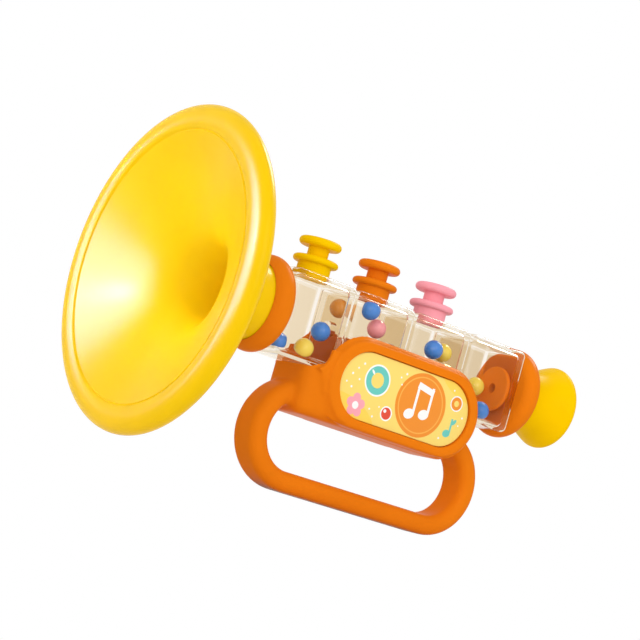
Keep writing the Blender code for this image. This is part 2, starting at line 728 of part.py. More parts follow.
def badge_frame(side):
    """The raised frame round a badge, flared where it meets the saddle and the case."""
    centre = (BADGE_CENTRE_X, -BADGE_CENTRE_DROP)
    steps = [(share * BADGE_RIM_STAND, grow * BADGE_FLARE) for share, grow in BADGE_FLARE_SHARES]
    low = BADGE_RIM_STAND - BADGE_RIM_ROUND
    for step in range(SMALL_ARC_STEPS + 1):
        angle = math.radians(90 * step / SMALL_ARC_STEPS)
        steps.append((
            low + BADGE_RIM_ROUND * math.sin(angle), -BADGE_RIM_ROUND * (1 - math.cos(angle)),
        ))
    levels = []
    for stand, grow in steps:
        outline = stadium(
            centre, BADGE_LENGTH + 2 * grow, BADGE_HEIGHT + 2 * grow, BADGE_ARC_STEPS,
        )
        y = side * (BADGE_INNER_Y + stand)
        levels.append([(x, y, max(z, ROOT_INSET - SADDLE_BOTTOM)) for x, z in outline])
    return loft(levels)


def badge_web(side):
    """The concave webs above and below the saddle's top edge at the badge frame's left end."""
    left = BADGE_CENTRE_X - BADGE_LENGTH / 2 - BADGE_FLARE / 2
    right = left + WEB_REACH * 2
    middle = -SADDLE_TOP - ROOT_INSET / 2
    upper = arc_points(
        (left - WEB_REACH, -SADDLE_TOP + WEB_RISE), (WEB_REACH, WEB_RISE), -90, 0, ARC_STEPS // 2,
    )
    lower = [(x, 2 * middle - z) for x, z in reversed(upper)]
    outline = upper + [(right, upper[-1][1]), (right, lower[0][1])] + lower
    levels = []
    for stand, share in ((WEB_LIFT, 1.0), (WEB_THICKNESS, WEB_TOP_SHARE)):
        y = side * (BADGE_INNER_Y + stand)
        levels.append([
            (right + (x - right) * (share + 1) / 2, y, middle + (z - middle) * share)
            for x, z in outline
        ])
    return loft(levels)


def frame_root_outline():
    """The part of the badge frame below the saddle's top, where the two join."""
    centre = (BADGE_CENTRE_X, -BADGE_CENTRE_DROP)
    length = BADGE_LENGTH - 2 * ROOT_INSET
    height = BADGE_HEIGHT - 2 * ROOT_INSET
    top = -SADDLE_TOP - ROOT_INSET
    return [(x, min(z, top)) for x, z in stadium(centre, length, height, BADGE_ARC_STEPS) if z < top]


def screw_places():
    """The handle screws as (x, z, depth of the shell there, radius of the post)."""
    places = [(
        -SADDLE_LEFT + SADDLE_SCREW_INSET, -SADDLE_BOTTOM + SADDLE_SCREW_RISE,
        SADDLE_DEPTH / 2, SADDLE_BOSS_RADIUS,
    )]
    for angle_deg in LOOP_SCREW_ANGLES_DEG:
        angle = math.radians(angle_deg)
        side = math.copysign(1, math.cos(angle))
        x = LOOP_CENTRE_X + side * LOOP_STRAIGHT + LOOP_MID_RADIUS * math.cos(angle)
        z = -LOOP_CENTRE_DROP + LOOP_MID_RADIUS * math.sin(angle)
        places.append((x, z, LOOP_DEPTH / 2, BOSS_RADIUS))
    return places


def handle_bosses(side):
    """Posts round the screws, from just off the seam to the shell."""
    bosses = bmesh.new()
    for x, z, depth, radius in screw_places():
        start = Vector((x, side * (SEAM_GAP / 2 + BOSS_SEAM_GAP), z))
        end = Vector((x, side * (depth - BOSS_TOP_GAP), z))
        cylinder(bosses, start, end, radius, SMALL_SEGMENTS)
    return bosses


def handle_holes(side):
    """Screw wells and clearance holes in the rear half, and blind holes in the front half."""
    holes = bmesh.new()
    shank = SCREW_SHANK_RADIUS + SEAT_GAP
    head = SCREW_HEAD_RADIUS + SEAT_GAP
    tip = SCREW_SEAT_Y - SCREW_SHANK_LENGTH - SEAT_GAP
    for x, z, depth, _ in screw_places():
        if side > 0:
            mouth = depth + CUT_OVERRUN
            outline = [
                (-SEAM_GAP, 0), (-SEAM_GAP, shank), (SCREW_SEAT_Y, shank),
                (SCREW_SEAT_Y, head), (mouth, head), (mouth, 0),
            ]
        else:
            outline = [(tip, 0), (tip, shank), (SEAM_GAP, shank), (SEAM_GAP, 0)]
        add_turned(holes, outline, SMALL_SEGMENTS, "Y", Vector((x, 0, z)))
    bmesh.ops.recalc_face_normals(holes, faces=holes.faces)
    return holes


def handle_half(name, side, material, parent):
    """Half of the handle as a hollow shell: loop, saddle, badge frame and screw posts."""
    badge_centre = (BADGE_CENTRE_X, -BADGE_CENTRE_DROP)
    seam = side * SEAM_GAP / 2
    past_seam = -side * CUT_OVERRUN
    section = loop_section(LOOP_THICKNESS, LOOP_DEPTH, LOOP_ROUND, side)
    handle = add_object(name, loop_solid(section, LOOP_ARC_STEPS), material, parent)
    saddle = saddle_body(side, 0, SEAM_GAP / 2, SMALL_ARC_STEPS)
    apply_boolean(handle, add_object(name + "_saddle_guide", saddle, None, parent), "UNION")
    frame = badge_frame(side)
    apply_boolean(handle, add_object(name + "_frame_guide", frame, None, parent), "UNION")
    root = slab(
        frame_root_outline(), side * (BADGE_INNER_Y - ROOT_DEPTH),
        side * (BADGE_INNER_Y + ROOT_DEPTH),
    )
    apply_boolean(handle, add_object(name + "_root_guide", root, None, parent), "UNION")
    web = badge_web(side)
    apply_boolean(handle, add_object(name + "_web_guide", web, None, parent), "UNION")
    recess = slab(
        stadium(
            badge_centre, BADGE_LENGTH - 2 * BADGE_END_WIDTH,
            BADGE_HEIGHT - 2 * BADGE_RIM_WIDTH, BADGE_ARC_STEPS,
        ),
        side * (BADGE_INNER_Y + BADGE_FLOOR), side * (BADGE_OUTER_Y + CUT_OVERRUN),
    )
    apply_boolean(handle, add_object(name + "_recess_guide", recess, None, parent), "DIFFERENCE")
    room_data = saddle_body(side, SHELL_WALL, -CUT_OVERRUN, SMALL_ARC_STEPS)
    inner = loop_section(
        LOOP_THICKNESS - 2 * SHELL_WALL, LOOP_DEPTH - 2 * SHELL_WALL,
        LOOP_ROUND - SHELL_WALL, side,
    )
    inner[0] = (inner[0][0], past_seam)
    inner[-1] = (inner[-1][0], past_seam)
    room = add_object(name + "_room_guide", room_data, None, parent)
    hollow = add_object(name + "_hollow_guide", loop_solid(inner, LOOP_ARC_STEPS), None, parent)
    bosses = add_object(name + "_boss_guide", handle_bosses(side), None, parent)
    for space in (room, hollow):
        apply_boolean(space, bosses, "DIFFERENCE")
        apply_boolean(handle, space, "DIFFERENCE")
    holes = handle_holes(side)
    tool = add_object(name + "_screw_guide", holes, None, parent)
    apply_boolean(handle, tool, "DIFFERENCE")
    return handle


def badge_plate(name, side, material, parent):
    """The printed plate in a badge frame."""
    length = BADGE_LENGTH - 2 * (BADGE_END_WIDTH + SEAT_GAP)
    height = BADGE_HEIGHT - 2 * (BADGE_RIM_WIDTH + SEAT_GAP)
    inner = BADGE_INNER_Y + BADGE_FLOOR + SEAT_GAP
    outline = stadium((BADGE_CENTRE_X, -BADGE_CENTRE_DROP), length, height, BADGE_ARC_STEPS)
    plate = slab(outline, side * inner, side * (inner + BADGE_PLATE_THICKNESS))
    return add_object(name, plate, material, parent)


def handle_screw(name, x, z, material, parent):
    """A screw with a round head, driven towards the front."""
    head_low = SCREW_SEAT_Y + SEAT_GAP
    tip = head_low - SCREW_SHANK_LENGTH
    outline = [
        (tip, 0),
        (tip + SCREW_TIP, SCREW_SHANK_RADIUS),
        (head_low, SCREW_SHANK_RADIUS),
        (head_low, SCREW_HEAD_RADIUS),
        (head_low + SCREW_HEAD_HEIGHT * 0.6, SCREW_HEAD_RADIUS),
        (head_low + SCREW_HEAD_HEIGHT, SCREW_HEAD_RADIUS / 2),
        (head_low + SCREW_HEAD_HEIGHT, 0),
    ]
    item = add_object(name, revolve(outline, SMALL_SEGMENTS, "Y"), material, parent)
    item.location = (x, 0, z)
    return item


def bead(name, place, material, parent):
    """A round bead, loose in its cell."""
    index, share_x, share_y, share_z = place
    room_x = CELL_LENGTH / 2 - CASE_WALL - BEAD_RADIUS
    room_y = CASE_SIDE - CASE_WALL - BEAD_RADIUS
    room_z = CASE_TOP - CASE_WALL - BEAD_RADIUS
    sphere = bmesh.new()
    bmesh.ops.create_uvsphere(
        sphere, u_segments=BEAD_SEGMENTS, v_segments=BEAD_RINGS, radius=BEAD_RADIUS,
    )
    item = add_object(name, sphere, material, parent, smooth_deg=80.0)
    item.location = (cell_centre(index) + share_x * room_x, share_y * room_y, share_z * room_z)
    return item


def build_valves(materials, parent):
    steel = materials["steel"]
    for index, colour in enumerate(("yellow", "orange", "pink")[:VALVE_COUNT]):
        number = index + 1
        axis = add_empty("valve_axis_%d" % number, (cell_centre(index), 0, 0), parent)
        valve_cap("valve_cap_%d" % number, materials[colour], axis)
        valve_button("valve_button_%d" % number, materials[colour], axis)
        valve_spring("valve_spring_%d" % number, steel, axis)


def build_handle(materials, parent):
    handle_half("handle_front", -1, materials["orange"], parent)
    handle_half("handle_rear", 1, materials["orange"], parent)
    badge_plate("badge_front", -1, materials["badge"], parent)
    badge_plate("badge_rear", 1, materials["badge"], parent)
    for number, (x, z, *_) in enumerate(screw_places(), start=1):
        handle_screw("handle_screw_%d" % number, x, z, materials["steel"], parent)


def main():
    clear_scene()
    materials = {name: make_material(name) for name in COLOURS if name not in ("clear", "steel")}
    materials["clear"] = make_material("clear", roughness=0.05, alpha=0.35)
    materials["steel"] = make_material("steel", roughness=0.35, metallic=1.0)
    axis = add_empty("trumpet_axis", (CENTRE_SHIFT, 0, AXIS_HEIGHT))
    bell(materials["yellow"], axis)
    front_collar(materials["orange"], axis)
    case_half("case_front", -1, materials["clear"], axis)
    case_half("case_rear", 1, materials["clear"], axis)
    rear_collar(materials["orange"], axis)
    mouthpiece(materials["yellow"], axis)
    whistle(materials["white"], materials["brass"], axis)
    build_valves(materials, axis)
    build_handle(materials, axis)
    for name, place in BEAD_PLACE_SHARES.items():
        bead(name, place, materials[name.split("_")[1]], axis)


if __name__ == "__main__":
    main()
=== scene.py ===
"""The finish of a toy trumpet, modelled round its fixed frame of solids.

The trumpet lies along X with its bell at -X. Its tube's axis runs at a fixed height over the floor,
and every finished piece keeps its place in its mesh.
"""

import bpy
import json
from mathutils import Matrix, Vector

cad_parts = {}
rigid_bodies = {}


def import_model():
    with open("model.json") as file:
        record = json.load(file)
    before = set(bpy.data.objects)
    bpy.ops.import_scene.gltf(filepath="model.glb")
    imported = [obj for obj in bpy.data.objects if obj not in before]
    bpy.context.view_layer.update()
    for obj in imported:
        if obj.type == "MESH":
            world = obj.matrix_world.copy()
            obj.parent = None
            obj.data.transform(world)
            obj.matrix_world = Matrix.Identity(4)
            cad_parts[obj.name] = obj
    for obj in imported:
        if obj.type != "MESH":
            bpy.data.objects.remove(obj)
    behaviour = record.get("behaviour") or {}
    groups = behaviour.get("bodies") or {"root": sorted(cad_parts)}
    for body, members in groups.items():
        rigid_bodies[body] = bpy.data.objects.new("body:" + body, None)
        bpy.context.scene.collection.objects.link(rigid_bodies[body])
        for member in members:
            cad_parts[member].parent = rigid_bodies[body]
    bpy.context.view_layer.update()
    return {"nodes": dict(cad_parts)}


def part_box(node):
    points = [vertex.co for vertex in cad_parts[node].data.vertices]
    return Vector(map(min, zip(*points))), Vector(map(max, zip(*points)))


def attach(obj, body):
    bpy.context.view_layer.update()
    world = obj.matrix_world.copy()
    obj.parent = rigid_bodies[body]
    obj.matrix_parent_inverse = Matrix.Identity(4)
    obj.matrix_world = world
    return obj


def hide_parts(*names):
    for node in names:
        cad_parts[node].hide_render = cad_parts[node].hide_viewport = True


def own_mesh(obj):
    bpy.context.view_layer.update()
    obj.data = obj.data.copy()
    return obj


bl_info = {
    "name": "Toy trumpet",
    "version": (1, 0, 0),
    "blender": (4, 5, 0),
    "location": "3D View > Sidebar > Trumpet",
    "description": "Models and finishes a toy trumpet with a bell, bead boxes, valves and a handle",
    "category": "Add Mesh",
}

import json
import math

import bmesh
import bpy
from mathutils import Matrix, Vector
from mathutils.geometry import interpolate_bezier

for spare in list(bpy.data.objects):
    bpy.data.objects.remove(spare, do_unlink=True)
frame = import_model()

MM = 0.001
FULL_TURN = 2 * math.pi
HALF_TURN = math.pi
QUARTER_TURN = math.pi / 2
WELD = 0.002 * MM
SEED = 0.2 * MM
GAP = 0.3 * MM
EASE = 0.5 * MM
CRISP_ANGLE = math.radians(30)
SOFT_ANGLE = math.radians(35)
ROUND_ANGLE = math.radians(50)
BODY = "trumpet"

# Places read from the frame
BELL_LOW, BELL_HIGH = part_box("bell")
CASE_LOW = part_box("case_front")[0]
CASE_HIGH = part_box("case_rear")[1]
HANDLE_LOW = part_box("handle_front")[0]
HANDLE_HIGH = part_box("handle_rear")[1]
AXIS_HEIGHT = (CASE_LOW.z + CASE_HIGH.z) / 2
CASE_MIDDLE_X = (CASE_LOW.x + CASE_HIGH.x) / 2
AXIS_POINT = Vector((CASE_MIDDLE_X, 0, AXIS_HEIGHT))
VALVES = ((1, "yellow"), (2, "orange"), (3, "pink"))
BEADS = sorted(name for name in frame["nodes"] if name.startswith("bead_"))
SCREWS = sorted(name for name in frame["nodes"] if name.startswith("handle_screw_"))

# Points in a curved outline, and sides of a turned piece
LIP_STEPS = 26
FLARE_STEPS = 44
EDGE_STEPS = 14
RIM_STEPS = 22
CUP_STEPS = 26
DISC_STEPS = 20
DOME_STEPS = 8
PAD_STEPS = 6
OVAL_STEPS = 40
BELL_SIDES = 144
RING_SIDES = 112
VALVE_SIDES = 88
SMALL_SIDES = 48


def mm(name, description, millimetres):
    return bpy.props.FloatProperty(
        name=name, description=description, default=millimetres * MM, min=0, unit="LENGTH",
        precision=5,
    )


def degrees(name, description, turn):
    return bpy.props.FloatProperty(
        name=name, description=description, default=math.radians(turn), subtype="ANGLE",
    )


def amount(name, description, default, least=0):
    return bpy.props.FloatProperty(
        name=name, description=description, default=default, min=least,
    )


def paint(name, description, default):
    return bpy.props.FloatVectorProperty(
        name=name, description=description, default=default, min=0, max=1, subtype="COLOR",
    )


class TrumpetBellSizes(bpy.types.PropertyGroup):
    radius: mm("Radius", "Outer radius of the bell's lip", 66.8)
    wall: mm("Wall", "Thickness of the bell's wall", 2.2)
    lip_height: mm("Lip height", "Half height of the rolled lip", 6.6)
    lip_depth: mm("Lip depth", "Half depth of the rolled lip", 4.8)
    lip_start: degrees("Lip start", "Where the roll of the lip begins behind the rim", -50)
    lip_end: degrees("Lip end", "Where the roll of the lip ends inside the rim", 128)
    groove_depth: mm("Groove depth", "Depth of the groove inside the lip", 0.7)
    groove_width: mm("Groove width", "Width of the groove inside the lip", 0.9)
    flare_length: mm("Flare length", "Length of the flare along the tube", 41.0)
    neck_radius: mm("Neck radius", "Outer radius of the bell's neck", 16.3)
    rim_pull_along: mm("Rim pull along", "Pull of the flare at its rim, along", 16.8)
    rim_pull_in: mm("Rim pull in", "Pull of the flare at its rim, inwards", 36.3)
    throat_pull: mm("Throat pull", "Pull of the flare at its throat", 20.0)


class TrumpetRingSizes(bpy.types.PropertyGroup):
    front_rise: mm("Front rise", "Rise of the ring at the bell over its solid", 0.45)
    rear_rise: mm("Rear rise", "Rise of the ring at the mouthpiece over its solid", 0.1)
    front_round: mm("Front rounding", "Edge radius of the ring at the bell", 4.9)
    rear_round: mm("Rear rounding", "Edge radius of the ring at the mouthpiece", 4.2)
    hub_radius: mm("Hub radius", "Radius of the hub in the box wall", 7.5)
    flange_radius: mm("Flange radius", "Radius of the flange inside the box", 9.8)
    flange_width: mm("Flange width", "Thickness of the flange", 1.6)
    flange_ease: mm("Flange ease", "Bevel of the flange's edge", 0.4)
    bore_radius: mm("Bore radius", "Radius of the air bore", 2.2)
    front_socket: mm("Front socket", "Depth of the bell's socket", 8.0)
    rear_socket: mm("Rear socket", "Depth of the mouthpiece's socket", 5.5)


class TrumpetMouthSizes(bpy.types.PropertyGroup):
    rim_round: mm("Rim rounding", "Radius of the mouthpiece's rolled rim", 2.75)
    rim_start: degrees("Rim start", "Where the roll of the rim begins outside", 120)
    rim_end: degrees("Rim end", "Where the roll of the rim ends in the cup", -60)
    rim_pull: mm("Rim pull", "Pull of the flare at the rim, along", 7.15)
    rim_fall: mm("Rim fall", "Pull of the flare at the rim, inwards", 2.717)
    waist_radius: mm("Waist radius", "Radius where the mouthpiece leaves its ring", 13.0)
    waist_pull: amount("Waist pull", "Pull of the flare at its waist, as a share", 0.45)
    cup_depth: mm("Cup depth", "Depth of the hollow cup", 14.0)
    bore_radius: mm("Bore radius", "Radius of the bore for the whistle", 4.5)
    whistle_wall: mm("Whistle wall", "Thickness of the whistle tube's wall", 1.8)
    whistle_ease: mm("Whistle ease", "Bevel of the whistle tube's end", 0.4)
    reed_ease: mm("Reed ease", "Edge radius of the reed", 0.12)


class TrumpetCaseSizes(bpy.types.PropertyGroup):
    cells: bpy.props.IntProperty(name="Cells", description="Number of box cells", default=4, min=1)
    groove: mm("Groove", "Gap between two cells at the surface", 0.8)
    groove_depth: mm("Groove depth", "Depth of the gap between two cells", 1.2)
    wall: mm("Wall", "Thickness of the clear wall", 1.8)
    edge_round: mm("Edge rounding", "Outer edge radius of a cell", 2.4)
    inner_round: mm("Inner rounding", "Inner edge radius of a cell", 2.6)
    air_hole: mm("Air hole", "Radius of the hole between two cells", 3.0)
    front_tinted: mm("Front tinted", "Depth of the front wall's own tint", 2.5)


class TrumpetValveSizes(bpy.types.PropertyGroup):
    base_radius: mm("Base radius", "Radius of the cap's base", 7.0)
    spigot_radius: mm("Spigot radius", "Radius of the cap's plug in the box", 6.2)
    cap_disc: mm("Cap disc", "Thickness of the cap's disc", 2.8)
    cap_floor: mm("Cap floor", "Thickness of the floor in the cap's hollow", 1.0)
    button_disc: mm("Button disc", "Thickness of the button's disc", 3.5)
    dome: mm("Dome", "Rise of the button's top", 0.5)
    neck_radius: mm("Neck radius", "Radius of the button's neck", 4.4)
    flange_radius: mm("Flange radius", "Radius of the button's stop flange", 5.0)
    flange_width: mm("Flange width", "Thickness of the stop flange", 0.9)
    cavity_radius: mm("Cavity radius", "Radius of the cap's hollow", 5.3)
    lip: mm("Lip", "Thickness of the cap's lip", 1.2)
    gap: mm("Gap", "Running gap of the button", 0.3)
    travel: mm("Travel", "How far a button goes down", 3.0)
    spring_radius: mm("Spring radius", "Radius of a spring's coil", 4.0)
    spring_wire: mm("Spring wire", "Half the thickness of a spring's wire", 0.25)
    spring_turns: amount("Spring turns", "Turns of a spring's coil", 3.0, 1)


class TrumpetHandleSizes(bpy.types.PropertyGroup):
    bar_thickness: mm("Bar thickness", "Thickness of the loop's bar", 8.6)
    bar_depth: mm("Bar depth", "Depth of the loop's bar, front to rear", 16.4)
    bar_round: mm("Bar rounding", "Edge radius of the loop's bar", 3.8)
    loop_height: mm("Loop height", "Outer height of the loop", 46.5)
    saddle_left: mm("Saddle left", "Reach of the saddle towards the bell", 46.6)
    saddle_right: mm("Saddle right", "Reach of the saddle to the mouthpiece", 38.0)
    saddle_depth: mm("Saddle depth", "Depth of the saddle, front to rear", 27.9)
    saddle_height: mm("Saddle height", "Height of the saddle", 19.5)
    saddle_lip: mm("Saddle lip", "Rise of its edges beside the boxes", 2.2)
    saddle_end_round: mm("Saddle end rounding", "Radius of its upright edges", 6.0)
    saddle_floor_round: mm("Saddle floor rounding", "Radius of its lower edges", 5.0)
    seat_gap: mm("Seat gap", "Gap between the saddle and the boxes", 0.3)
    badge_shift: mm("Badge shift", "Place of the badge along the tube", 2.5)
    badge_drop: mm("Badge drop", "Depth of the badge's middle below the axis", 19.1)
    badge_length: mm("Badge length", "Outer length of the badge frame", 81.0)
    badge_height: mm("Badge height", "Outer height of the badge frame", 36.7)
    rim_width: mm("Rim width", "Width of the frame's rim above and below", 4.0)
    end_width: mm("End width", "Width of the frame's rim at its ends", 5.2)
    rim_round: mm("Rim rounding", "Edge radius of the rim", 1.7)
    flare: mm("Flare", "Spread of the badge frame at its foot", 2.2)
    rim_stand: mm("Rim stand", "Stand of the rim in front of the boxes", 4.2)
    recess_depth: mm("Recess depth", "Depth of the badge's recess", 2.3)
    inset: mm("Inset", "How far pad, root and web stay inside the saddle", 0.6)
    web_reach: mm("Web reach", "Reach of the web beside the badge frame", 5.5)
    web_rise: mm("Web rise", "Rise of the web beside the badge frame", 9.0)
    web_depth: mm("Web depth", "Depth of the web, front to rear", 2.4)
    grain: mm("Grain", "Cell size of the blended skin", 0.55)
    badge_ease: mm("Badge ease", "Edge radius of the printed badge", 0.25)
    screw_head: mm("Screw head", "Height of a screw's head", 1.6)


class TrumpetColours(bpy.types.PropertyGroup):
    yellow: paint("Yellow", "Mouthpiece and first valve", (0.98, 0.59, 0.0))
    bell: paint("Bell", "Bell", (0.965, 0.60, 0.0))
    orange: paint("Orange", "Rings, handle and second valve", (0.85, 0.207, 0.006))
    pink: paint("Pink", "Third valve and one bead", (1.0, 0.38, 0.44))
    blue: paint("Blue", "Blue beads", (0.05, 0.25, 0.80))
    lemon: paint("Lemon", "Yellow beads", (0.95, 0.74, 0.10))
    ochre: paint("Ochre", "Orange bead", (0.86, 0.38, 0.06))
    clear: paint("Clear", "Tint of the boxes at the bell", (0.90, 0.79, 0.61))
    clear_deep: paint("Clear deep", "Tint at the mouthpiece", (0.75, 0.62, 0.43))
    clear_front: paint("Clear front", "Tint of the boxes' front", (0.965, 0.92, 0.855))
    paper: paint("Paper", "Ground of the badge", (0.95, 0.71, 0.155))
    print_orange: paint("Print orange", "Orange of the badge's print", (0.88, 0.27, 0.005))
    print_teal: paint("Print teal", "Teal of the badge's print", (0.13, 0.58, 0.50))
    print_red: paint("Print red", "Red of the badge's print", (0.75, 0.06, 0.02))
    print_shade: paint("Print shade", "Shade of the badge's ground", (0.98, 0.68, 0.08))
    print_rim: paint("Print rim", "Thin ring in the badge's disc", (0.95, 0.45, 0.06))
    white: paint("White", "White of the print and the whistle", (0.95, 0.95, 0.93))
    steel: paint("Steel", "Screws and springs", (0.62, 0.62, 0.64))
    brass: paint("Brass", "Reed of the whistle", (0.80, 0.62, 0.28))
    floor: paint("Floor", "Floor under the toy", (0.92, 0.92, 0.92))


class TrumpetStageSizes(bpy.types.PropertyGroup):
    sky: amount("Sky", "Strength of the white surroundings as light", 0.74)
    key_power: amount("Key power", "Main soft light in watts", 1.7)
    fill_power: amount("Fill power", "Second soft light in watts", 3.4)
    gloss_power: amount("Gloss power", "The bell's wide highlight in watts", 112.0)
    glow_power: amount("Glow power", "The bell's inner highlight in watts", 64.0)
    spark_power: amount("Spark power", "The bell's small highlight in watts", 14.0)
    edge_power: amount("Edge power", "Light that is mirrored in edges, in watts", 12.0)
    throat_power: amount("Throat power", "Spot into the bell's throat, in watts", 8.0)
    side_power: amount("Side power", "Light on the left sides, in watts", 2.4)
    lens: amount("Lens", "Focal length of the camera in mm", 122.28, 1)


# Modelling tools


def clear_selection():
    if bpy.context.object and bpy.context.object.mode != "OBJECT":
        bpy.ops.object.mode_set(mode="OBJECT")
    bpy.ops.object.select_all(action="DESELECT")


def make_active(piece):
    clear_selection()
    piece.select_set(True)
    bpy.context.view_layer.objects.active = piece


def open_mesh():
    """Go into edit mode with the whole active piece selected."""
    bpy.ops.object.mode_set(mode="EDIT")
    bpy.ops.mesh.select_all(action="SELECT")


def name_new_piece(name):
    """Name the new object and put its place, turn and size into its mesh."""
    piece = bpy.context.object
    piece.name = name
    piece.data.name = name
    make_active(piece)
    bpy.ops.object.transform_apply(location=True, rotation=True, scale=True)
    return piece


def add_shape(add, name, **values):
    """Add a named shape with one of Blender's operators for primitives."""
    clear_selection()
    add(**values)
    return name_new_piece(name)


def box_and_middle(node):
    low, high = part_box(node)
    return low, high, (low + high) / 2


def pick(piece, element, wanted):
    """Select only the vertices, edges or faces of the active piece that pass a test."""
    kinds = {"VERT": "verts", "EDGE": "edges", "FACE": "faces"}
    bpy.ops.object.mode_set(mode="EDIT")
    bpy.ops.mesh.select_mode(type=element)
    bpy.ops.mesh.select_all(action="DESELECT")
    mesh_data = bmesh.from_edit_mesh(piece.data)
    picked = [item for item in getattr(mesh_data, kinds[element]) if wanted(item)]
    if not picked:
        raise RuntimeError("nothing was picked on " + piece.name)
    for item in picked:
        item.select_set(True)
    mesh_data.select_flush_mode()
    bmesh.update_edit_mesh(piece.data)


def round_edges(edge, steps):
    bpy.ops.mesh.bevel(offset=edge, segments=steps, affect="EDGES")


def draw_thread(name, points, closed=False):
    """Draw a thread of edges through points, by extruding one vertex, and stay in edit mode."""
    piece = add_shape(bpy.ops.mesh.primitive_plane_add, name, size=SEED, location=points[0])
    open_mesh()
    bpy.ops.mesh.select_mode(type="VERT")
    bpy.ops.mesh.merge(type="CENTER")
    for before, after in zip(points, points[1:]):
        bpy.ops.mesh.extrude_region_move(TRANSFORM_OT_translate={"value": after - before})
    if closed:
        last = len(points) - 1
        pick(piece, "VERT", lambda vert: vert.index in (0, last))
        bpy.ops.mesh.edge_face_add()
    return piece


def close_surface():
    """Merge doubles and turn all faces outwards, from edit mode."""
    bpy.ops.mesh.select_all(action="SELECT")
    bpy.ops.mesh.remove_doubles(threshold=WELD)
    bpy.ops.mesh.normals_make_consistent(inside=False)
    bpy.ops.object.mode_set(mode="OBJECT")


def smooth_shading(piece, soft=SOFT_ANGLE):
    make_active(piece)
    bpy.ops.object.shade_smooth_by_angle(angle=soft)


def modify(piece, kind, **settings):
    """Put a modifier with its settings on a piece and apply it."""
    modifier = piece.modifiers.new(kind.capitalize(), kind)
    for key, value in settings.items():
        setattr(modifier, key, value)
    make_active(piece)
    bpy.ops.object.modifier_apply(modifier=modifier.name)


def cut_with(piece, tool, operation="DIFFERENCE"):
    """Cut a tool away from a piece, or join it on, and remove the tool."""
    modify(piece, "BOOLEAN", operation=operation, solver="EXACT", object=tool)
    bpy.data.objects.remove(tool, do_unlink=True)


def joined(pieces):
    clear_selection()
    for piece in pieces:
        piece.select_set(True)
    bpy.context.view_layer.objects.active = pieces[0]
    bpy.ops.object.join()
    return pieces[0]


def copy_piece(piece, name, shift=(0, 0, 0)):
    make_active(piece)
    bpy.ops.object.duplicate(linked=False)
    bpy.ops.transform.translate(value=shift)
    return name_new_piece(name)


def copies_at(first, nodes):
    """A finished piece that isn't dressed yet, and a copy of it in the box of each other node."""
    start = box_and_middle(nodes[0])[2]
    return [first] + [
        copy_piece(first, node + "_finish", box_and_middle(node)[2] - start) for node in nodes[1:]
    ]


def keep_side(piece, normal):
    """Cut a solid through the middle and close it, keeping what lies behind the normal."""
    make_active(piece)
    open_mesh()
    bpy.ops.mesh.bisect(
        plane_co=(0, 0, 0), plane_no=normal, use_fill=True, clear_outer=True, threshold=WELD,
    )
    bpy.ops.object.mode_set(mode="OBJECT")


def arc(centre, radii, start, end, steps):
    """Points on an elliptical arc, with angles in radians."""
    turns = [start + (end - start) * step / steps for step in range(steps + 1)]
    return [
        (centre[0] + radii[0] * math.cos(turn), centre[1] + radii[1] * math.sin(turn))
        for turn in turns
    ]


def curve_between(start, start_pull, end_pull, end, count):
    corners = [Vector((*point, 0)) for point in (start, start_pull, end_pull, end)]
    return [(point.x, point.y) for point in interpolate_bezier(*corners, count)]


def beside(curve, distance):
    """A curve moved sideways by a wall's thickness."""
    moved = []
    for index, point in enumerate(curve):
        before = Vector(curve[max(index - 1, 0)])
        after = Vector(curve[min(index + 1, len(curve) - 1)])
        way = (after - before).normalized()
        moved.append((point[0] + way.y * distance, point[1] - way.x * distance))
    return moved


# The way along each axis, and the way out from it where an outline is drawn
TURNING = {
    "X": (Vector((1, 0, 0)), Vector((0, 0, 1))),
    "Y": (Vector((0, 1, 0)), Vector((0, 0, 1))),
    "Z": (Vector((0, 0, 1)), Vector((1, 0, 0))),
}


def turned_piece(name, outline, axis, centre, steps, closed=True):
    """Turn an outline of (distance along the axis, radius) round an axis through a point."""
    along, out = TURNING[axis]
    base = centre - along * centre.dot(along)
    points = [base + along * place + out * radius for place, radius in outline]
    piece = draw_thread(name, points, closed)
    bpy.ops.mesh.select_all(action="SELECT")
    bpy.ops.mesh.spin(steps=steps, angle=FULL_TURN, center=centre, axis=along)
    close_surface()
    return piece


def tube_piece(node, outline, steps=RING_SIDES, soft=SOFT_ANGLE):
    """Turn a closed outline round the toy's own axis and shade it."""
    piece = turned_piece(node + "_finish", outline, "X", AXIS_POINT, steps)
    smooth_shading(piece, soft)
    return piece


def block(name, low, high, edge=0.0, steps=6):
    """A cube set to a box, with all its edges rounded."""
    piece = add_shape(
        bpy.ops.mesh.primitive_cube_add, name, size=1, location=(low + high) / 2,
        scale=high - low,
    )
    if edge > 0:
        open_mesh()
        round_edges(edge, steps)
        close_surface()
    return piece


def rod(name, start, end, radius, sides):
    """A cylinder between two points along one axis."""
    along = end - start
    return add_shape(
        bpy.ops.mesh.primitive_cylinder_add, name, vertices=sides, radius=radius,
        depth=along.length, location=(start + end) / 2,
        rotation=Vector((0, 0, 1)).rotation_difference(along).to_euler(),
    )


def oval(centre, length, height, steps):
    """Points round a lengthways oval with straight sides, as (x, z)."""
    radius = height / 2
    reach = length / 2 - radius
    points = []
    for side, start in ((1, -QUARTER_TURN), (-1, QUARTER_TURN)):
        middle = (centre[0] + side * reach, centre[1])
        points += arc(middle, (radius, radius), start, start + HALF_TURN, steps)
    return points


def slab(name, outline, near, far):
    """Draw an (x, z) outline at one Y, fill it and extrude it to another."""
    piece = draw_thread(name, [Vector((x, near, z)) for x, z in outline], closed=True)
    bpy.ops.mesh.select_all(action="SELECT")
    bpy.ops.mesh.edge_face_add()
    bpy.ops.mesh.extrude_region_move(TRANSFORM_OT_translate={"value": (0, far - near, 0)})
    close_surface()
    return piece


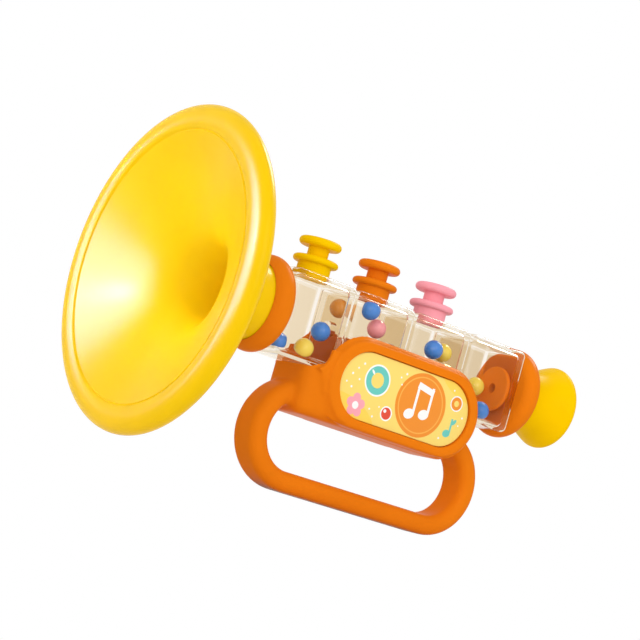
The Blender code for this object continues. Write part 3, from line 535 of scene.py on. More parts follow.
def lofted(name, rings):
    """Draw closed rings of points, bridge them in a row and fill both ends."""
    pieces = []
    for ring in rings:
        pieces.append(draw_thread(name, ring, closed=True))
        bpy.ops.object.mode_set(mode="OBJECT")
    piece = joined(pieces)
    open_mesh()
    bpy.ops.mesh.bridge_edge_loops()
    bpy.ops.mesh.select_all(action="SELECT")
    bpy.ops.mesh.fill_holes(sides=0)
    close_surface()
    return piece


def dress(piece, body, slot, material, *nodes):
    """Give a finished piece its body, its material and the nodes that it stands for; the slot is
    not used.
    """
    piece.data.materials.clear()
    piece.data.materials.append(material)
    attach(piece, body)
    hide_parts(*nodes)


# Materials

WHITE = (1.0, 1.0, 1.0, 1.0)


def rgba(tint, share=1.0):
    return (tint[0] * share, tint[1] * share, tint[2] * share, 1.0)


def feed(node, values):
    """Set inputs of a node to values, or link them to outputs of other nodes."""
    for label, value in values.items():
        if isinstance(value, bpy.types.NodeSocket):
            node.id_data.links.new(value, node.inputs[label])
        else:
            node.inputs[label].default_value = value


def add_node(tree, kind, values=None, **settings):
    node = tree.nodes.new(kind)
    for key, value in settings.items():
        setattr(node, key, value)
    feed(node, values or {})
    return node


def mixed(tree, share, first, second):
    """One colour at share 0 and another at share 1."""
    values = {"Factor": share, "A": first, "B": second}
    return add_node(tree, "ShaderNodeMix", values, data_type="RGBA").outputs["Result"]


def blended(tree, share, first, second):
    """One shader at share 0 and another at share 1."""
    return add_node(tree, "ShaderNodeMixShader", {"Fac": share, 1: first, 2: second}).outputs[0]


def maths(tree, operation, first, second):
    node = add_node(tree, "ShaderNodeMath", {0: first, 1: second}, operation=operation)
    return node.outputs["Value"]


def largest(tree, first, *others):
    for other in others:
        first = maths(tree, "MAXIMUM", first, other)
    return first


def vector_maths(tree, operation, *values):
    node = add_node(
        tree, "ShaderNodeVectorMath", dict(enumerate(values)), operation=operation,
    )
    return node.outputs["Value" if operation == "LENGTH" else "Vector"]


def axes(tree, vector):
    return add_node(tree, "ShaderNodeSeparateXYZ", {"Vector": vector}).outputs


def ranged(tree, value, low, high, **settings):
    """A value taken from one range, low to high, to another, which is 0 to 1 unless given."""
    limits = dict(settings.pop("to", {}))
    limits.update({"Value": value, "From Min": low, "From Max": high})
    return add_node(tree, "ShaderNodeMapRange", limits, **settings).outputs["Result"]


def noise(tree, vector, **values):
    values = {label.capitalize(): value for label, value in values.items()}
    node = add_node(tree, "ShaderNodeTexNoise", {"Vector": vector, **values})
    return node.outputs["Fac"]


def start_group(name, inputs, outputs):
    """A new shader group with its named sockets, and the outputs of its input node."""
    tree = bpy.data.node_groups.new(name, "ShaderNodeTree")
    for label, value in inputs.items():
        kind = "Vector" if value is None else "Color" if isinstance(value, tuple) else "Float"
        socket = tree.interface.new_socket(
            name=label, in_out="INPUT", socket_type="NodeSocket" + kind,
        )
        if value is not None:
            socket.default_value = value
    for label, kind in outputs.items():
        tree.interface.new_socket(name=label, in_out="OUTPUT", socket_type="NodeSocket" + kind)
    return tree, add_node(tree, "NodeGroupInput").outputs


def start_material(name):
    """A material with only its shader and output."""
    material = bpy.data.materials.new(name)
    material.use_nodes = True
    tree = material.node_tree
    return material, tree, tree.nodes["Principled BSDF"]


def moulded_group():
    """Faint flow marks and fine polish of moulded plastic."""
    name = "Moulded plastic"
    if name in bpy.data.node_groups:
        return bpy.data.node_groups[name]
    tree, source = start_group(
        name,
        {"Position": None, "Colour": WHITE, "Deep colour": WHITE, "Polish": 0.2,
         "Flow scale": 60.0, "Ripple": 0.02},
        {"Colour": "Color", "Roughness": "Float", "Normal": "Vector"},
    )
    place = source["Position"]
    flow = noise(tree, place, scale=source["Flow scale"], detail=2.0, roughness=0.45)
    rub = maths(tree, "MULTIPLY", noise(tree, place, scale=900.0, detail=3.0), 0.06)
    depth = ranged(tree, flow, 0.35, 0.75, to={"To Max": 0.5})
    ripple = {"Strength": source["Ripple"], "Distance": 0.2 * MM, "Height": flow}
    add_node(tree, "NodeGroupOutput", {
        "Colour": mixed(tree, depth, source["Colour"], source["Deep colour"]),
        "Roughness": maths(tree, "ADD", source["Polish"], rub),
        "Normal": add_node(tree, "ShaderNodeBump", ripple).outputs["Normal"],
    })
    return tree


def moulded(tree, tint, deep, polish):
    """The colour, roughness and normal of a moulded skin in a material."""
    place = add_node(tree, "ShaderNodeTexCoord").outputs["Object"]
    values = {
        "Position": place, "Colour": rgba(tint), "Deep colour": rgba(tint, deep), "Polish": polish,
    }
    return add_node(tree, "ShaderNodeGroup", values, node_tree=moulded_group()).outputs


def plastic(name, tint, polish=0.28, coat=0.0, shine=0.012, bounce=0.3):
    """A moulded plastic in one colour, painted paler for bounced light only, so that it throws a
    paler light that lifts the shade on what is beside it.
    """
    if name in bpy.data.materials:
        return bpy.data.materials[name]
    material, tree, shader = start_material(name)
    skin = moulded(tree, tint, 0.9, polish)
    pale = rgba([(0.95 - bounce) * part + bounce for part in tint])
    path = add_node(tree, "ShaderNodeLightPath").outputs
    feed(shader, {
        # Painted light: diffuse rays see a paler colour, which brightens the shade on neighbouring
        # surfaces
        "Base Color": mixed(tree, path["Is Diffuse Ray"], skin["Colour"], pale),
        "Roughness": skin["Roughness"],
        "Normal": skin["Normal"],
        "Specular IOR Level": shine,
        "Coat Weight": coat,
        "Coat Roughness": 0.05,
    })
    return material


def metal(name, tint, polish):
    """A plain metal with fine wear."""
    if name in bpy.data.materials:
        return bpy.data.materials[name]
    material, tree, shader = start_material(name)
    skin = moulded(tree, tint, 0.8, polish)
    feed(shader, {"Base Color": skin["Colour"], "Roughness": skin["Roughness"], "Metallic": 1.0})
    return material


def box_tint_and_edge_highlight_group():
    """The tint of the clear boxes: deeper towards one end, and pale on their rounded edges as a
    painted highlight.
    """
    tree, source = start_group(
        "Box tint",
        {"Along": 0.0, "Start": 0.0, "End": 1.0, "Across": 0.0, "Front": 0.0, "Facing": None,
         "Front tint": WHITE, "Light tint": WHITE, "Deep tint": WHITE,
         "Edge tint": (1.0, 0.98, 0.96, 1.0)},
        {"Colour": "Color"},
    )
    run = ranged(tree, source["Along"], source["Start"], source["End"])
    tint = mixed(tree, run, source["Light tint"], source["Deep tint"])
    ahead = maths(tree, "LESS_THAN", source["Across"], source["Front"])
    faced = mixed(tree, ahead, tint, source["Front tint"])
    # Rounded edges, told by their normals, get a painted highlight in the pale edge colour
    parts = axes(tree, vector_maths(tree, "ABSOLUTE", source["Facing"]))
    most = largest(tree, parts["X"], parts["Y"], parts["Z"])
    edge = ranged(tree, most, 0.96, 0.85, interpolation_type="SMOOTHSTEP")
    add_node(tree, "NodeGroupOutput", {"Colour": mixed(tree, edge, faced, source["Edge tint"])})
    return tree


def clear_plastic(colours, front):
    """The polished clear plastic of the boxes, which lets lamps shine through, with a painted glow
    where light is trapped in a wall.
    """
    name = "Clear box plastic"
    if name in bpy.data.materials:
        return bpy.data.materials[name]
    material, tree, shader = start_material(name)
    place = add_node(tree, "ShaderNodeTexCoord").outputs
    parts = axes(tree, place["Object"])
    tint = add_node(tree, "ShaderNodeGroup", {
        "Along": parts["X"], "Start": CASE_LOW.x, "End": CASE_HIGH.x,
        "Across": parts["Y"], "Front": CASE_LOW.y + front, "Facing": place["Normal"],
        "Front tint": rgba(colours.clear_front), "Light tint": rgba(colours.clear),
        "Deep tint": rgba(colours.clear_deep),
    }, node_tree=box_tint_and_edge_highlight_group())
    feed(shader, {
        "Base Color": tint.outputs["Colour"], "Roughness": 0.0, "Transmission Weight": 1.0,
        "IOR": 1.15,
    })
    path = add_node(tree, "ShaderNodeLightPath").outputs
    # Light that runs to and fro inside a wall is cut off and shown as a painted glow of its tint:
    # an emission, though the wall is no lamp
    painted_glow = add_node(
        tree, "ShaderNodeEmission", {"Color": rgba(colours.clear), "Strength": 0.9},
    ).outputs["Emission"]
    material.cycles.emission_sampling = "NONE"
    trapped = maths(tree, "GREATER_THAN", path["Glossy Depth"], 2.5)
    inside = blended(tree, trapped, shader.outputs["BSDF"], painted_glow)
    window = add_node(tree, "ShaderNodeBsdfTransparent", {"Color": (0.99, 0.98, 0.96, 1.0)})
    through = largest(
        tree, maths(tree, "GREATER_THAN", path["Ray Depth"], 7.5), path["Is Shadow Ray"],
        path["Is Diffuse Ray"],
    )
    shown = blended(tree, through, inside, window.outputs["BSDF"])
    feed(tree.nodes["Material Output"], {"Surface": shown})
    return material


# Turned pieces

# The groove inside the bell's lip: shares of its depth and of its width
GROOVE = ((0.75, 0.2), (1.0, 0.5), (0.85, 0.8))


class TRUMPET_OT_bell(bpy.types.Operator):
    """Turn the bell from its outline"""

    bl_idname = "trumpet.bell"
    bl_label = "Bell"

    def execute(self, context):
        size = context.scene.trumpet_bell
        front = BELL_LOW.x
        length = BELL_HIGH.x - front
        outer = []
        inner = []
        for step in range(LIP_STEPS + 1):
            turn = size.lip_start + (size.lip_end - size.lip_start) * step / LIP_STEPS
            for points, shrink in ((outer, 0), (inner, size.wall)):
                points.append((
                    -size.lip_depth + (size.lip_depth - shrink) * math.sin(turn),
                    size.radius - size.lip_height + (size.lip_height - shrink) * math.cos(turn),
                ))
        lip_x, lip_radius = outer[-1]
        deep, wide = size.groove_depth, size.groove_width
        groove = [(lip_x - deep * down, lip_radius - wide * across) for down, across in GROOVE]
        start = (lip_x - deep / 3, lip_radius - wide)
        throat_radius = size.neck_radius - size.wall
        throat = (-size.flare_length, throat_radius)
        flare = curve_between(
            start, (start[0] - size.rim_pull_along, start[1] - size.rim_pull_in),
            (throat[0] + size.throat_pull, throat_radius), throat, FLARE_STEPS,
        )
        back = beside(flare, size.wall)
        outline = outer + groove + flare
        outline += [(-length, throat_radius), (-length, size.neck_radius)]
        outline += [(throat[0], size.neck_radius)]
        outline += back[-2:0:-1] + inner[::2][::-1]
        placed = [(front - along, radius) for along, radius in outline]
        piece = tube_piece("bell", placed, BELL_SIDES, ROUND_ANGLE)
        bell = context.scene.trumpet_colours.bell
        # The bell's bounce colour is painted especially pale, to lighten the shade in its throat
        material = plastic("Bell yellow", bell, polish=0.22, shine=0.08, bounce=0.75)
        dress(piece, BODY, "yellow_plastic", material, "bell")
        return {"FINISHED"}


def ring_outline(size, wall, radius, width, edge, socket_radius, socket_depth):
    """Half section of a ring: hub, flange, rounded rim and socket, from the end of the boxes."""
    flange_out = -wall - GAP
    flange_in = flange_out - size.flange_width
    face = GAP + width
    cut = math.asin(max(0.0, min(1.0, (socket_radius - radius + edge) / edge)))
    outline = [
        (flange_in, size.bore_radius),
        (flange_in, size.flange_radius - size.flange_ease),
        (flange_in + size.flange_ease, size.flange_radius),
        (flange_out, size.flange_radius),
        (flange_out, size.hub_radius),
        (GAP, size.hub_radius),
    ]
    corners = ((GAP + edge, HALF_TURN, QUARTER_TURN), (face - edge, QUARTER_TURN, cut))
    for along, start, end in corners:
        outline += arc((along, radius - edge), (edge, edge), start, end, EDGE_STEPS)
    if socket_radius < radius - edge:
        outline.append((face, socket_radius))
    floor = face - socket_depth
    return outline + [(floor, socket_radius), (floor, size.bore_radius)]


class TRUMPET_OT_rings(bpy.types.Operator):
    """Turn the two orange rings at the ends of the boxes"""

    bl_idname = "trumpet.rings"
    bl_label = "Rings"

    def execute(self, context):
        scene = context.scene
        size = scene.trumpet_rings
        material = plastic("Ring orange", scene.trumpet_colours.orange)
        ends = (
            ("front_collar", -1, CASE_LOW.x, size.front_round, size.front_rise,
             scene.trumpet_bell.neck_radius, size.front_socket),
            ("rear_collar", 1, CASE_HIGH.x, size.rear_round, size.rear_rise,
             scene.trumpet_mouth.waist_radius, size.rear_socket),
        )
        for node, side, end, edge, rise, fit, depth in ends:
            low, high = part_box(node)
            far = low.x if side < 0 else high.x
            outline = ring_outline(
                size, scene.trumpet_case.wall, (high.z - low.z) / 2 + rise, abs(far - end) - GAP,
                edge, fit + GAP, depth,
            )
            piece = tube_piece(node, [(end + side * along, radius) for along, radius in outline])
            dress(piece, BODY, "orange_plastic", material, node)
        return {"FINISHED"}


class TRUMPET_OT_mouthpiece(bpy.types.Operator):
    """Turn the mouthpiece with its cup, and model its whistle"""

    bl_idname = "trumpet.mouthpiece"
    bl_label = "Mouthpiece"

    def execute(self, context):
        size = context.scene.trumpet_mouth
        colours = context.scene.trumpet_colours
        socket = context.scene.trumpet_rings.rear_socket
        low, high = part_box("mouthpiece")
        start = low.x - GAP + socket
        length = high.x - start
        edge = size.rim_round
        middle = (length - edge, (high.z - low.z) / 2 - edge)
        rim = arc(middle, (edge, edge), size.rim_start, size.rim_end, RIM_STEPS)
        first, last = rim[0], rim[-1]
        waist = size.waist_radius
        flare = curve_between(
            (0, waist), (length * size.waist_pull, waist),
            (first[0] - size.rim_pull, first[1] - size.rim_fall), first, CUP_STEPS,
        )
        deep = size.cup_depth
        bottom = (length - deep, size.bore_radius)
        cup = curve_between(
            last, (last[0] - edge, last[1] - edge),
            (bottom[0] + deep / 4, bottom[1] + deep / 8), bottom, CUP_STEPS,
        )
        plug = GAP - socket
        outline = [(plug, waist)] + flare + rim[1:] + cup[1:] + [(plug, size.bore_radius)]
        placed = [(start + along, across) for along, across in outline]
        piece = tube_piece("mouthpiece", placed, soft=ROUND_ANGLE)
        material = plastic("Mouth yellow", colours.yellow)
        dress(piece, BODY, "yellow_plastic", material, "mouthpiece")
        self.make_whistle(size, colours)
        return {"FINISHED"}

    def make_whistle(self, size, colours):
        low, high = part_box("whistle_tube")
        outer = (high.z - low.z) / 2
        inner = outer - size.whistle_wall
        soft = size.whistle_ease
        outline = [
            (low.x, inner), (low.x, outer), (high.x - soft, outer),
            (high.x, outer - soft), (high.x, inner + soft), (high.x - soft, inner),
        ]
        tube = tube_piece("whistle_tube", outline, SMALL_SIDES)
        dress(tube, BODY, "white_plastic", plastic("Whistle white", colours.white), "whistle_tube")
        reed = block("whistle_reed_finish", *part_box("whistle_reed"), size.reed_ease, steps=2)
        smooth_shading(reed)
        dress(reed, BODY, "reed_brass", metal("Reed brass", colours.brass, 0.3), "whistle_reed")


def disc_outline(radius, low, high, neck):
    """From a neck out over a valve disc's rounded rim, up to its upper face."""
    edge = (high - low) / 2
    rim = arc((radius - edge, low + edge), (edge, edge), -QUARTER_TURN, QUARTER_TURN, DISC_STEPS)
    foot = [(low - EASE, neck), (low - EASE * 0.3, neck + EASE * 0.3), (low, neck + EASE)]
    return foot + [(up, across) for across, up in rim]


class TRUMPET_OT_valves(bpy.types.Operator):
    """Turn the caps and buttons of the three valves, and wind their springs"""

    bl_idname = "trumpet.valves"
    bl_label = "Valves"

    def execute(self, context):
        size = context.scene.trumpet_valves
        colours = context.scene.trumpet_colours
        steel = metal("Spring steel", colours.steel, 0.25)
        for number, name in VALVES:
            material = plastic("Valve " + name, getattr(colours, name), polish=0.3, bounce=0.1)
            slot = name + "_plastic"
            cap, button, spring = (
                "valve_%s_%d" % (part, number) for part in ("cap", "button", "spring")
            )
            dress(self.turn_cap(size, cap), BODY, slot, material, cap)
            dress(self.turn_button(size, button), "button_%d" % number, slot, material, button)
            coil = self.wind_spring(size, spring)
            dress(coil, BODY, "steel", steel, spring)
            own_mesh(coil)
        return {"FINISHED"}

    def turn_cap(self, size, node):
        low, high, middle = box_and_middle(node)
        base = CASE_HIGH.z + size.gap
        hole = size.neck_radius + size.gap
        floor = low.z + size.cap_floor
        outline = [(low.z, 0), (low.z, size.spigot_radius), (base, size.spigot_radius)]
        outline.append((base, size.base_radius))
        outline += disc_outline(
            (high.x - low.x) / 2, high.z - size.cap_disc, high.z, size.base_radius,
        )
        outline += [
            (high.z, hole + EASE * 0.5), (high.z - EASE * 0.5, hole), (high.z - size.lip, hole),
            (high.z - size.lip, size.cavity_radius), (floor, size.cavity_radius), (floor, 0),
        ]
        return self.turn(node, outline, middle)

    def turn_button(self, size, node):
        low, high, middle = box_and_middle(node)
        radius = (high.x - low.x) / 2
        flange_high = low.z + size.flange_width
        disc_high = high.z - size.dome
        disc_low = disc_high - size.button_disc
        outline = [(low.z, 0), (low.z, size.flange_radius), (flange_high, size.flange_radius)]
        outline.append((flange_high, size.neck_radius))
        outline += disc_outline(radius, disc_low, disc_high, size.neck_radius)
        flat = radius - size.button_disc / 2
        for step in range(1, DOME_STEPS + 1):
            share = step / DOME_STEPS
            rise = size.dome * math.sin(share * QUARTER_TURN)
            outline.append((disc_high + rise, flat * (1 - share)))
        return self.turn(node, outline, middle)

    def turn(self, node, outline, middle):
        piece = turned_piece(node + "_finish", outline, "Z", middle, VALVE_SIDES, closed=False)
        smooth_shading(piece)
        return piece

    def wind_spring(self, size, node):
        """A coil of round wire with closed ends."""
        low, high, middle = box_and_middle(node)
        wire = size.spring_wire
        piece = add_shape(
            bpy.ops.mesh.primitive_circle_add, node + "_finish", vertices=12, radius=wire,
            rotation=(QUARTER_TURN, 0, 0), location=(size.spring_radius, 0, low.z + wire),
        )
        modify(
            piece, "SCREW", angle=FULL_TURN * size.spring_turns,
            screw_offset=high.z - low.z - 2 * wire, steps=96,
        )
        open_mesh()
        bpy.ops.mesh.fill_holes(sides=0)
        bpy.ops.mesh.select_all(action="SELECT")
        bpy.ops.transform.translate(value=(middle.x, middle.y, 0))
        close_surface()
        smooth_shading(piece)
        return piece


class TRUMPET_OT_boxes(bpy.types.Operator):
    """Model the row of clear boxes with their pockets and holes"""

    bl_idname = "trumpet.boxes"
    bl_label = "Clear boxes"

    def execute(self, context):
        size = context.scene.trumpet_case
        valves = context.scene.trumpet_valves
        low, high = CASE_LOW, CASE_HIGH
        pitch = (high.x - low.x + size.groove) / size.cells
        cell = Vector((pitch - size.groove, high.y - low.y, high.z - low.z))
        wall = Vector((size.wall,) * 3)
        cells = [block("case_finish", low, low + cell, size.edge_round, steps=7)]
        pockets = [block("Pocket", low + wall, low + cell - wall, size.inner_round, steps=7)]
        for index in range(1, size.cells):
            for row in (cells, pockets):
                row.append(copy_piece(row[0], "Copy", (pitch * index, 0, 0)))
        case = joined(cells)
        pocket = joined(pockets)
        deep = Vector((cell.x / 2, size.groove_depth, size.groove_depth))
        cut_with(case, block("Spine", low + deep, high - deep), "UNION")
        cut_with(case, pocket)
        hub = context.scene.trumpet_rings.hub_radius + valves.gap
        reach = Vector((size.wall * 2, 0, 0))
        for end in (low.x, high.x):
            middle = Vector((end, 0, AXIS_HEIGHT))
            cut_with(case, rod("Hub hole", middle - reach, middle + reach, hub, sides=64))
        air = [
            Vector((low.x + cell.x / 2 + pitch * index, 0, AXIS_HEIGHT))
            for index in (0, size.cells - 1)
        ]
        cut_with(case, rod("Air hole", *air, size.air_hole, sides=40))
        for number, _ in VALVES:
            x = box_and_middle("valve_cap_%d" % number)[2].x
            start, end = (Vector((x, 0, high.z + size.wall * share)) for share in (-2, 1))
            radius = valves.spigot_radius + valves.gap
            cut_with(case, rod("Valve hole", start, end, radius, sides=56))
        smooth_shading(case, CRISP_ANGLE)
        modify(case, "WEIGHTED_NORMAL", keep_sharp=True, weight=100)
        material = clear_plastic(context.scene.trumpet_colours, size.front_tinted)
        dress(case, BODY, "clear_plastic", material, "case_front", "case_rear")
        return {"FINISHED"}


# Handle

# How far a badge frame spreads at shares of its stand
FLARE_SHARES = ((0.0, 1.0), (0.16, 0.78), (0.36, 0.3), (0.55, 0.0))
FAR = 1000


class TRUMPET_OT_handle(bpy.types.Operator):
    """Model the handle as one blended body and part it into its two halves"""

    bl_idname = "trumpet.handle"
    bl_label = "Handle"

    def execute(self, context):
        size = context.scene.trumpet_handle
        self.size = size
        self.top = CASE_LOW.z - size.seat_gap
        self.floor = self.top - size.saddle_height
        self.left = CASE_MIDDLE_X - size.saddle_left
        self.badge = (CASE_MIDDLE_X + size.badge_shift, AXIS_HEIGHT - size.badge_drop)
        self.back = CASE_HIGH.y + size.seat_gap
        self.rim = self.back + size.rim_stand
        pieces = [self.loop(), self.saddle()]
        for side in (-1, 1):
            pieces += [self.frame_pad(side), self.root(side), self.web(side)]
        body = joined(pieces)
        modify(body, "REMESH", mode="VOXEL", voxel_size=size.grain)
        self.soften(body)
        gap = Vector((size.seat_gap,) * 3)
        edge = context.scene.trumpet_case.edge_round + size.seat_gap
        cut_with(body, block("Cradle", CASE_LOW - gap, CASE_HIGH + gap, edge, steps=10))
        bed = (size.badge_length - 2 * size.end_width, size.badge_height - 2 * size.rim_width)
        for side in (-1, 1):
            near = side * (self.rim - size.recess_depth)
            far = side * (self.rim + 3 * MM)
            cut_with(body, slab("Badge bed", oval(self.badge, *bed, OVAL_STEPS), near, far))
        self.part(context, body)
        return {"FINISHED"}

    def loop(self):
        """The closed bar: a rounded section pulled straight and spun round each end."""
        size = self.size
        low, high = HANDLE_LOW, HANDLE_HIGH
        edge = size.bar_round
        middle_radius = (size.loop_height - size.bar_thickness) / 2
        straight = (high.x - low.x - size.loop_height) / 2
        middle = Vector(((low.x + high.x) / 2, 0, low.z + size.loop_height / 2))
        deep, half = size.bar_depth / 2 - edge, size.bar_thickness / 2 - edge
        section = []
        for index, (across, up) in enumerate(((1, 1), (-1, 1), (-1, -1), (1, -1))):
            turn = QUARTER_TURN * index
            corner = (across * deep, up * half)
            section += arc(corner, (edge, edge), turn, turn + QUARTER_TURN, steps=8)
        start = Vector((middle.x - straight, 0, middle.z - middle_radius))
        points = [start + Vector((0, y, z)) for y, z in section]
        bar = draw_thread("handle_finish", points, closed=True)
        bpy.ops.mesh.select_all(action="SELECT")
        for side in (1, -1):
            run = Vector((2 * straight * side, 0, 0))
            bpy.ops.mesh.extrude_region_move(TRANSFORM_OT_translate={"value": run})
            bpy.ops.mesh.spin(steps=40, angle=HALF_TURN, center=middle + run / 2, axis=(0, 1, 0))
        close_surface()
        return bar

    def saddle(self):
        """The block under the boxes, with rounded upright and lower edges."""
        size = self.size
        reach = size.saddle_depth / 2
        right = CASE_MIDDLE_X + size.saddle_right
        piece = block(
            "Saddle", Vector((self.left, -reach, self.floor)),
            Vector((right, reach, self.top + size.saddle_lip)),
        )
        pick(piece, "EDGE", lambda edge: abs(edge.verts[0].co.z - edge.verts[1].co.z) > SEED)
        round_edges(size.saddle_end_round, steps=12)
        low = 2 * (self.floor + SEED)
        pick(piece, "EDGE", lambda edge: edge.verts[0].co.z + edge.verts[1].co.z < low)
        round_edges(size.saddle_floor_round, steps=8)
        close_surface()
        return piece

    def frame_pad(self, side):
        """The oval pad of a badge, with its rim rounded."""
        size = self.size
        steps = [(share * size.rim_stand, grow * size.flare) for share, grow in FLARE_SHARES]
        for step in range(PAD_STEPS + 1):
            turn = QUARTER_TURN * step / PAD_STEPS
            steps.append((
                size.rim_stand - size.rim_round * (1 - math.sin(turn)),
                -size.rim_round * (1 - math.cos(turn)),
            ))
        floor = self.floor + size.inset
        rings = []
        for stand, grow in steps:
            y = side * (self.back + stand)
            outline = oval(
                self.badge, size.badge_length + 2 * grow, size.badge_height + 2 * grow, steps=24,
            )
            rings.append([Vector((x, y, max(z, floor))) for x, z in outline])
        return lofted("Badge pad", rings)

    def root(self, side):
        """What joins the pad to the saddle's side."""
        size = self.size
        top = self.top - size.inset
        whole = oval(self.badge, size.badge_length, size.badge_height, steps=20)
        outline = [(x, min(z, top)) for x, z in whole if z < top]
        near, far = self.back - 2 * MM, (self.back + self.rim) / 2
        return slab("Badge root", outline, side * near, side * far)

    def web(self, side):
        """The hollow curved web from the saddle's top edge up the badge's left end."""
        size = self.size
        reach, rise = size.web_reach, size.web_rise
        left = self.badge[0] - size.badge_length / 2 - size.inset
        right = left + reach * 1.6
        top = self.top
        hollow = arc((left - reach, top + rise), (reach, rise), -QUARTER_TURN, 0, steps=12)
        mirrored = [(x, 2 * top - z) for x, z in reversed(hollow)]
        outline = hollow + [(right, hollow[-1][1]), (right, mirrored[0][1])] + mirrored[:-1]
        near, far = self.back + 0.05 * MM, self.back + size.web_depth
        return slab("Web", outline, side * near, side * far)

    def soften(self, body):
        """Smooth the skin where its solids meet, and a little everywhere."""
        size = self.size
        floor, top, left, back = (
            place / MM for place in (self.floor, self.top, self.left, self.back)
        )
        bar = size.bar_depth / 2 / MM + 2
        badge_left, badge_right = (
            (self.badge[0] + side * size.badge_length / 2) / MM for side in (-1, 1)
        )
        # Rounds, and between which millimetres along, across from the middle and up: the bar's
        # upper joint, the web, the bar's lower joint and the foot of the badge frames
        regions = (
            (14, (-FAR, left + 7), (-1, bar), (floor + 1, top - 2)),
            (26, (-FAR, badge_left + 6), (back - 1.2, back + 2.4), (floor + 3, top - 1)),
            (4, (-FAR, FAR), (-1, bar), (floor - 5, floor + 2)),
            (12, (-FAR, badge_right - 12), (back - 0.8, back + 1.8), (-FAR, top - 1)),
        )
        for rounds, *limits in regions:
            pick(body, "VERT", lambda vert: all(
                low < place / MM < high
                for place, (low, high) in zip((vert.co.x, abs(vert.co.y), vert.co.z), limits)
            ))
            bpy.ops.mesh.vertices_smooth(factor=0.5, repeat=rounds)
        bpy.ops.mesh.select_all(action="SELECT")
        bpy.ops.mesh.vertices_smooth(factor=0.5, repeat=5)
        bpy.ops.object.mode_set(mode="OBJECT")

    def part(self, context, body):
        """Cut the body at its seam, sink the screw wells and finish both halves."""
        material = plastic("Handle orange", context.scene.trumpet_colours.orange)
        rear = copy_piece(body, "handle_rear_finish")
        body.name = "handle_front_finish"
        keep_side(body, (0, 1, 0))
        keep_side(rear, (0, -1, 0))
        for node in SCREWS:
            low, high, spot = box_and_middle(node)
            start = Vector((spot.x, high.y - self.size.screw_head, spot.z))
            end = Vector((spot.x, rear.dimensions.y + 10 * MM, spot.z))
            radius = (high.x - low.x) / 2 + GAP
            cut_with(rear, rod("Screw well", start, end, radius, sides=40))
        for piece, node in ((body, "handle_front"), (rear, "handle_rear")):
            smooth_shading(piece, math.radians(38))
            dress(piece, BODY, "orange_plastic", material, node)


# Printed badge


def mask_group(kind):
    """An oval spot or a bar with square ends, as a mask: 1 inside, 0 outside, with a soft edge."""
    name = kind + " mask"
    if name in bpy.data.node_groups:
        return bpy.data.node_groups[name]
    tree, source = start_group(
        name, {"Position": None, "Centre": None, "Turn": 0.0, "Across": 1.0, "Up": 1.0},
        {"Mask": "Float"},
    )
    across, up = source["Across"], source["Up"]
    turned = add_node(tree, "ShaderNodeVectorRotate", {
        "Vector": vector_maths(tree, "SUBTRACT", source["Position"], source["Centre"]),
        "Angle": source["Turn"],
    }, rotation_type="Y_AXIS").outputs["Vector"]
    if kind == "spot":
        radii = add_node(tree, "ShaderNodeCombineXYZ", {"X": across, "Y": FAR, "Z": up})
        shares = vector_maths(tree, "DIVIDE", turned, radii.outputs["Vector"])
        inside = maths(tree, "SUBTRACT", 1.0, vector_maths(tree, "LENGTH", shares))
        depth = maths(tree, "MULTIPLY", inside, maths(tree, "MINIMUM", across, up))
    else:
        parts = axes(tree, vector_maths(tree, "ABSOLUTE", turned))
        gaps = [
            maths(tree, "SUBTRACT", reach, parts[axis])
            for reach, axis in ((across, "X"), (up, "Z"))
        ]
        depth = maths(tree, "MINIMUM", *gaps)
    mask = ranged(tree, depth, -0.06, 0.06, interpolation_type="SMOOTHSTEP")
    add_node(tree, "NodeGroupOutput", {"Mask": mask})
    return tree


# The print in mm from its middle, from the ground up. Round discs: x, z, then for each disc on
# the one before its radius and colour. Shapes: kind, x, z, half width, half height, turn, colour
SHADES = (
    ("spot", -34, -22, 24, 17, 0, "print_shade"),
    ("spot", 36, 22, 23, 15, 0, "print_shade"),
)
DISCS = (
    (8.5, 0, (13.4, "print_orange"), (11.9, "print_rim"), (11.4, "print_orange")),
    (-16.5, 3.8, (6.6, "white"), (5.9, "print_teal"), (3.2, "paper")),
    (-7.8, -7.9, (3.1, "white"), (2.5, "print_red")),
    (-8.7, -7.0, (0.75, "white")),
    (27.0, 5.6, (3.3, "white"), (2.8, "print_orange"), (1.3, "paper")),
)
MARKS = (
    ("bar", 5.6, 1.0, 0.62, 6.0, 0, "white"),
    ("bar", 13.2, 2.4, 0.62, 6.0, 0, "white"),
    ("bar", 9.4, 7.1, 4.5, 1.35, -10.5, "white"),
    ("spot", 3.6, -4.8, 2.75, 2.1, 22, "white"),
    ("spot", 11.2, -3.4, 2.75, 2.1, 22, "white"),
    ("spot", -19.6, 6.6, 1.15, 0.5, -44, "white"),
    ("bar", 27.1, -4.6, 0.5, 3.6, 0, "print_teal"),
    ("spot", 25.6, -7.6, 2.0, 1.6, 20, "print_teal"),
    ("spot", 28.3, -2.2, 1.6, 0.75, 52, "print_teal"),
)
# Dots of one colour: x, z, radius
DOTS = (
    ("pink", (-21.5, -7.6, 2.0), (-24.3, -5.5, 2.0), (-26.9, -7.7, 2.0), (-25.8, -10.9, 2.0),
     (-22.5, -10.9, 2.0)),
    ("white", (-24.2, -8.6, 1.6), (-29.6, 3.4, 0.5), (-27.4, 6.2, 0.4), (-25.6, 1.9, 0.45),
     (-31.6, -0.4, 0.4), (-28.6, -1.9, 0.5), (-25.0, 8.6, 0.5), (-2.6, 10.4, 0.5),
     (-5.0, 8.3, 0.4), (-3.8, 5.6, 0.35), (-14.4, -10.8, 0.45), (-12.2, -6.2, 0.35),
     (-16.8, -8.2, 0.4), (22.3, -10.4, 0.45), (24.1, 10.6, 0.4), (31.9, 0.6, 0.45),
     (30.8, -3.0, 0.35)),
)


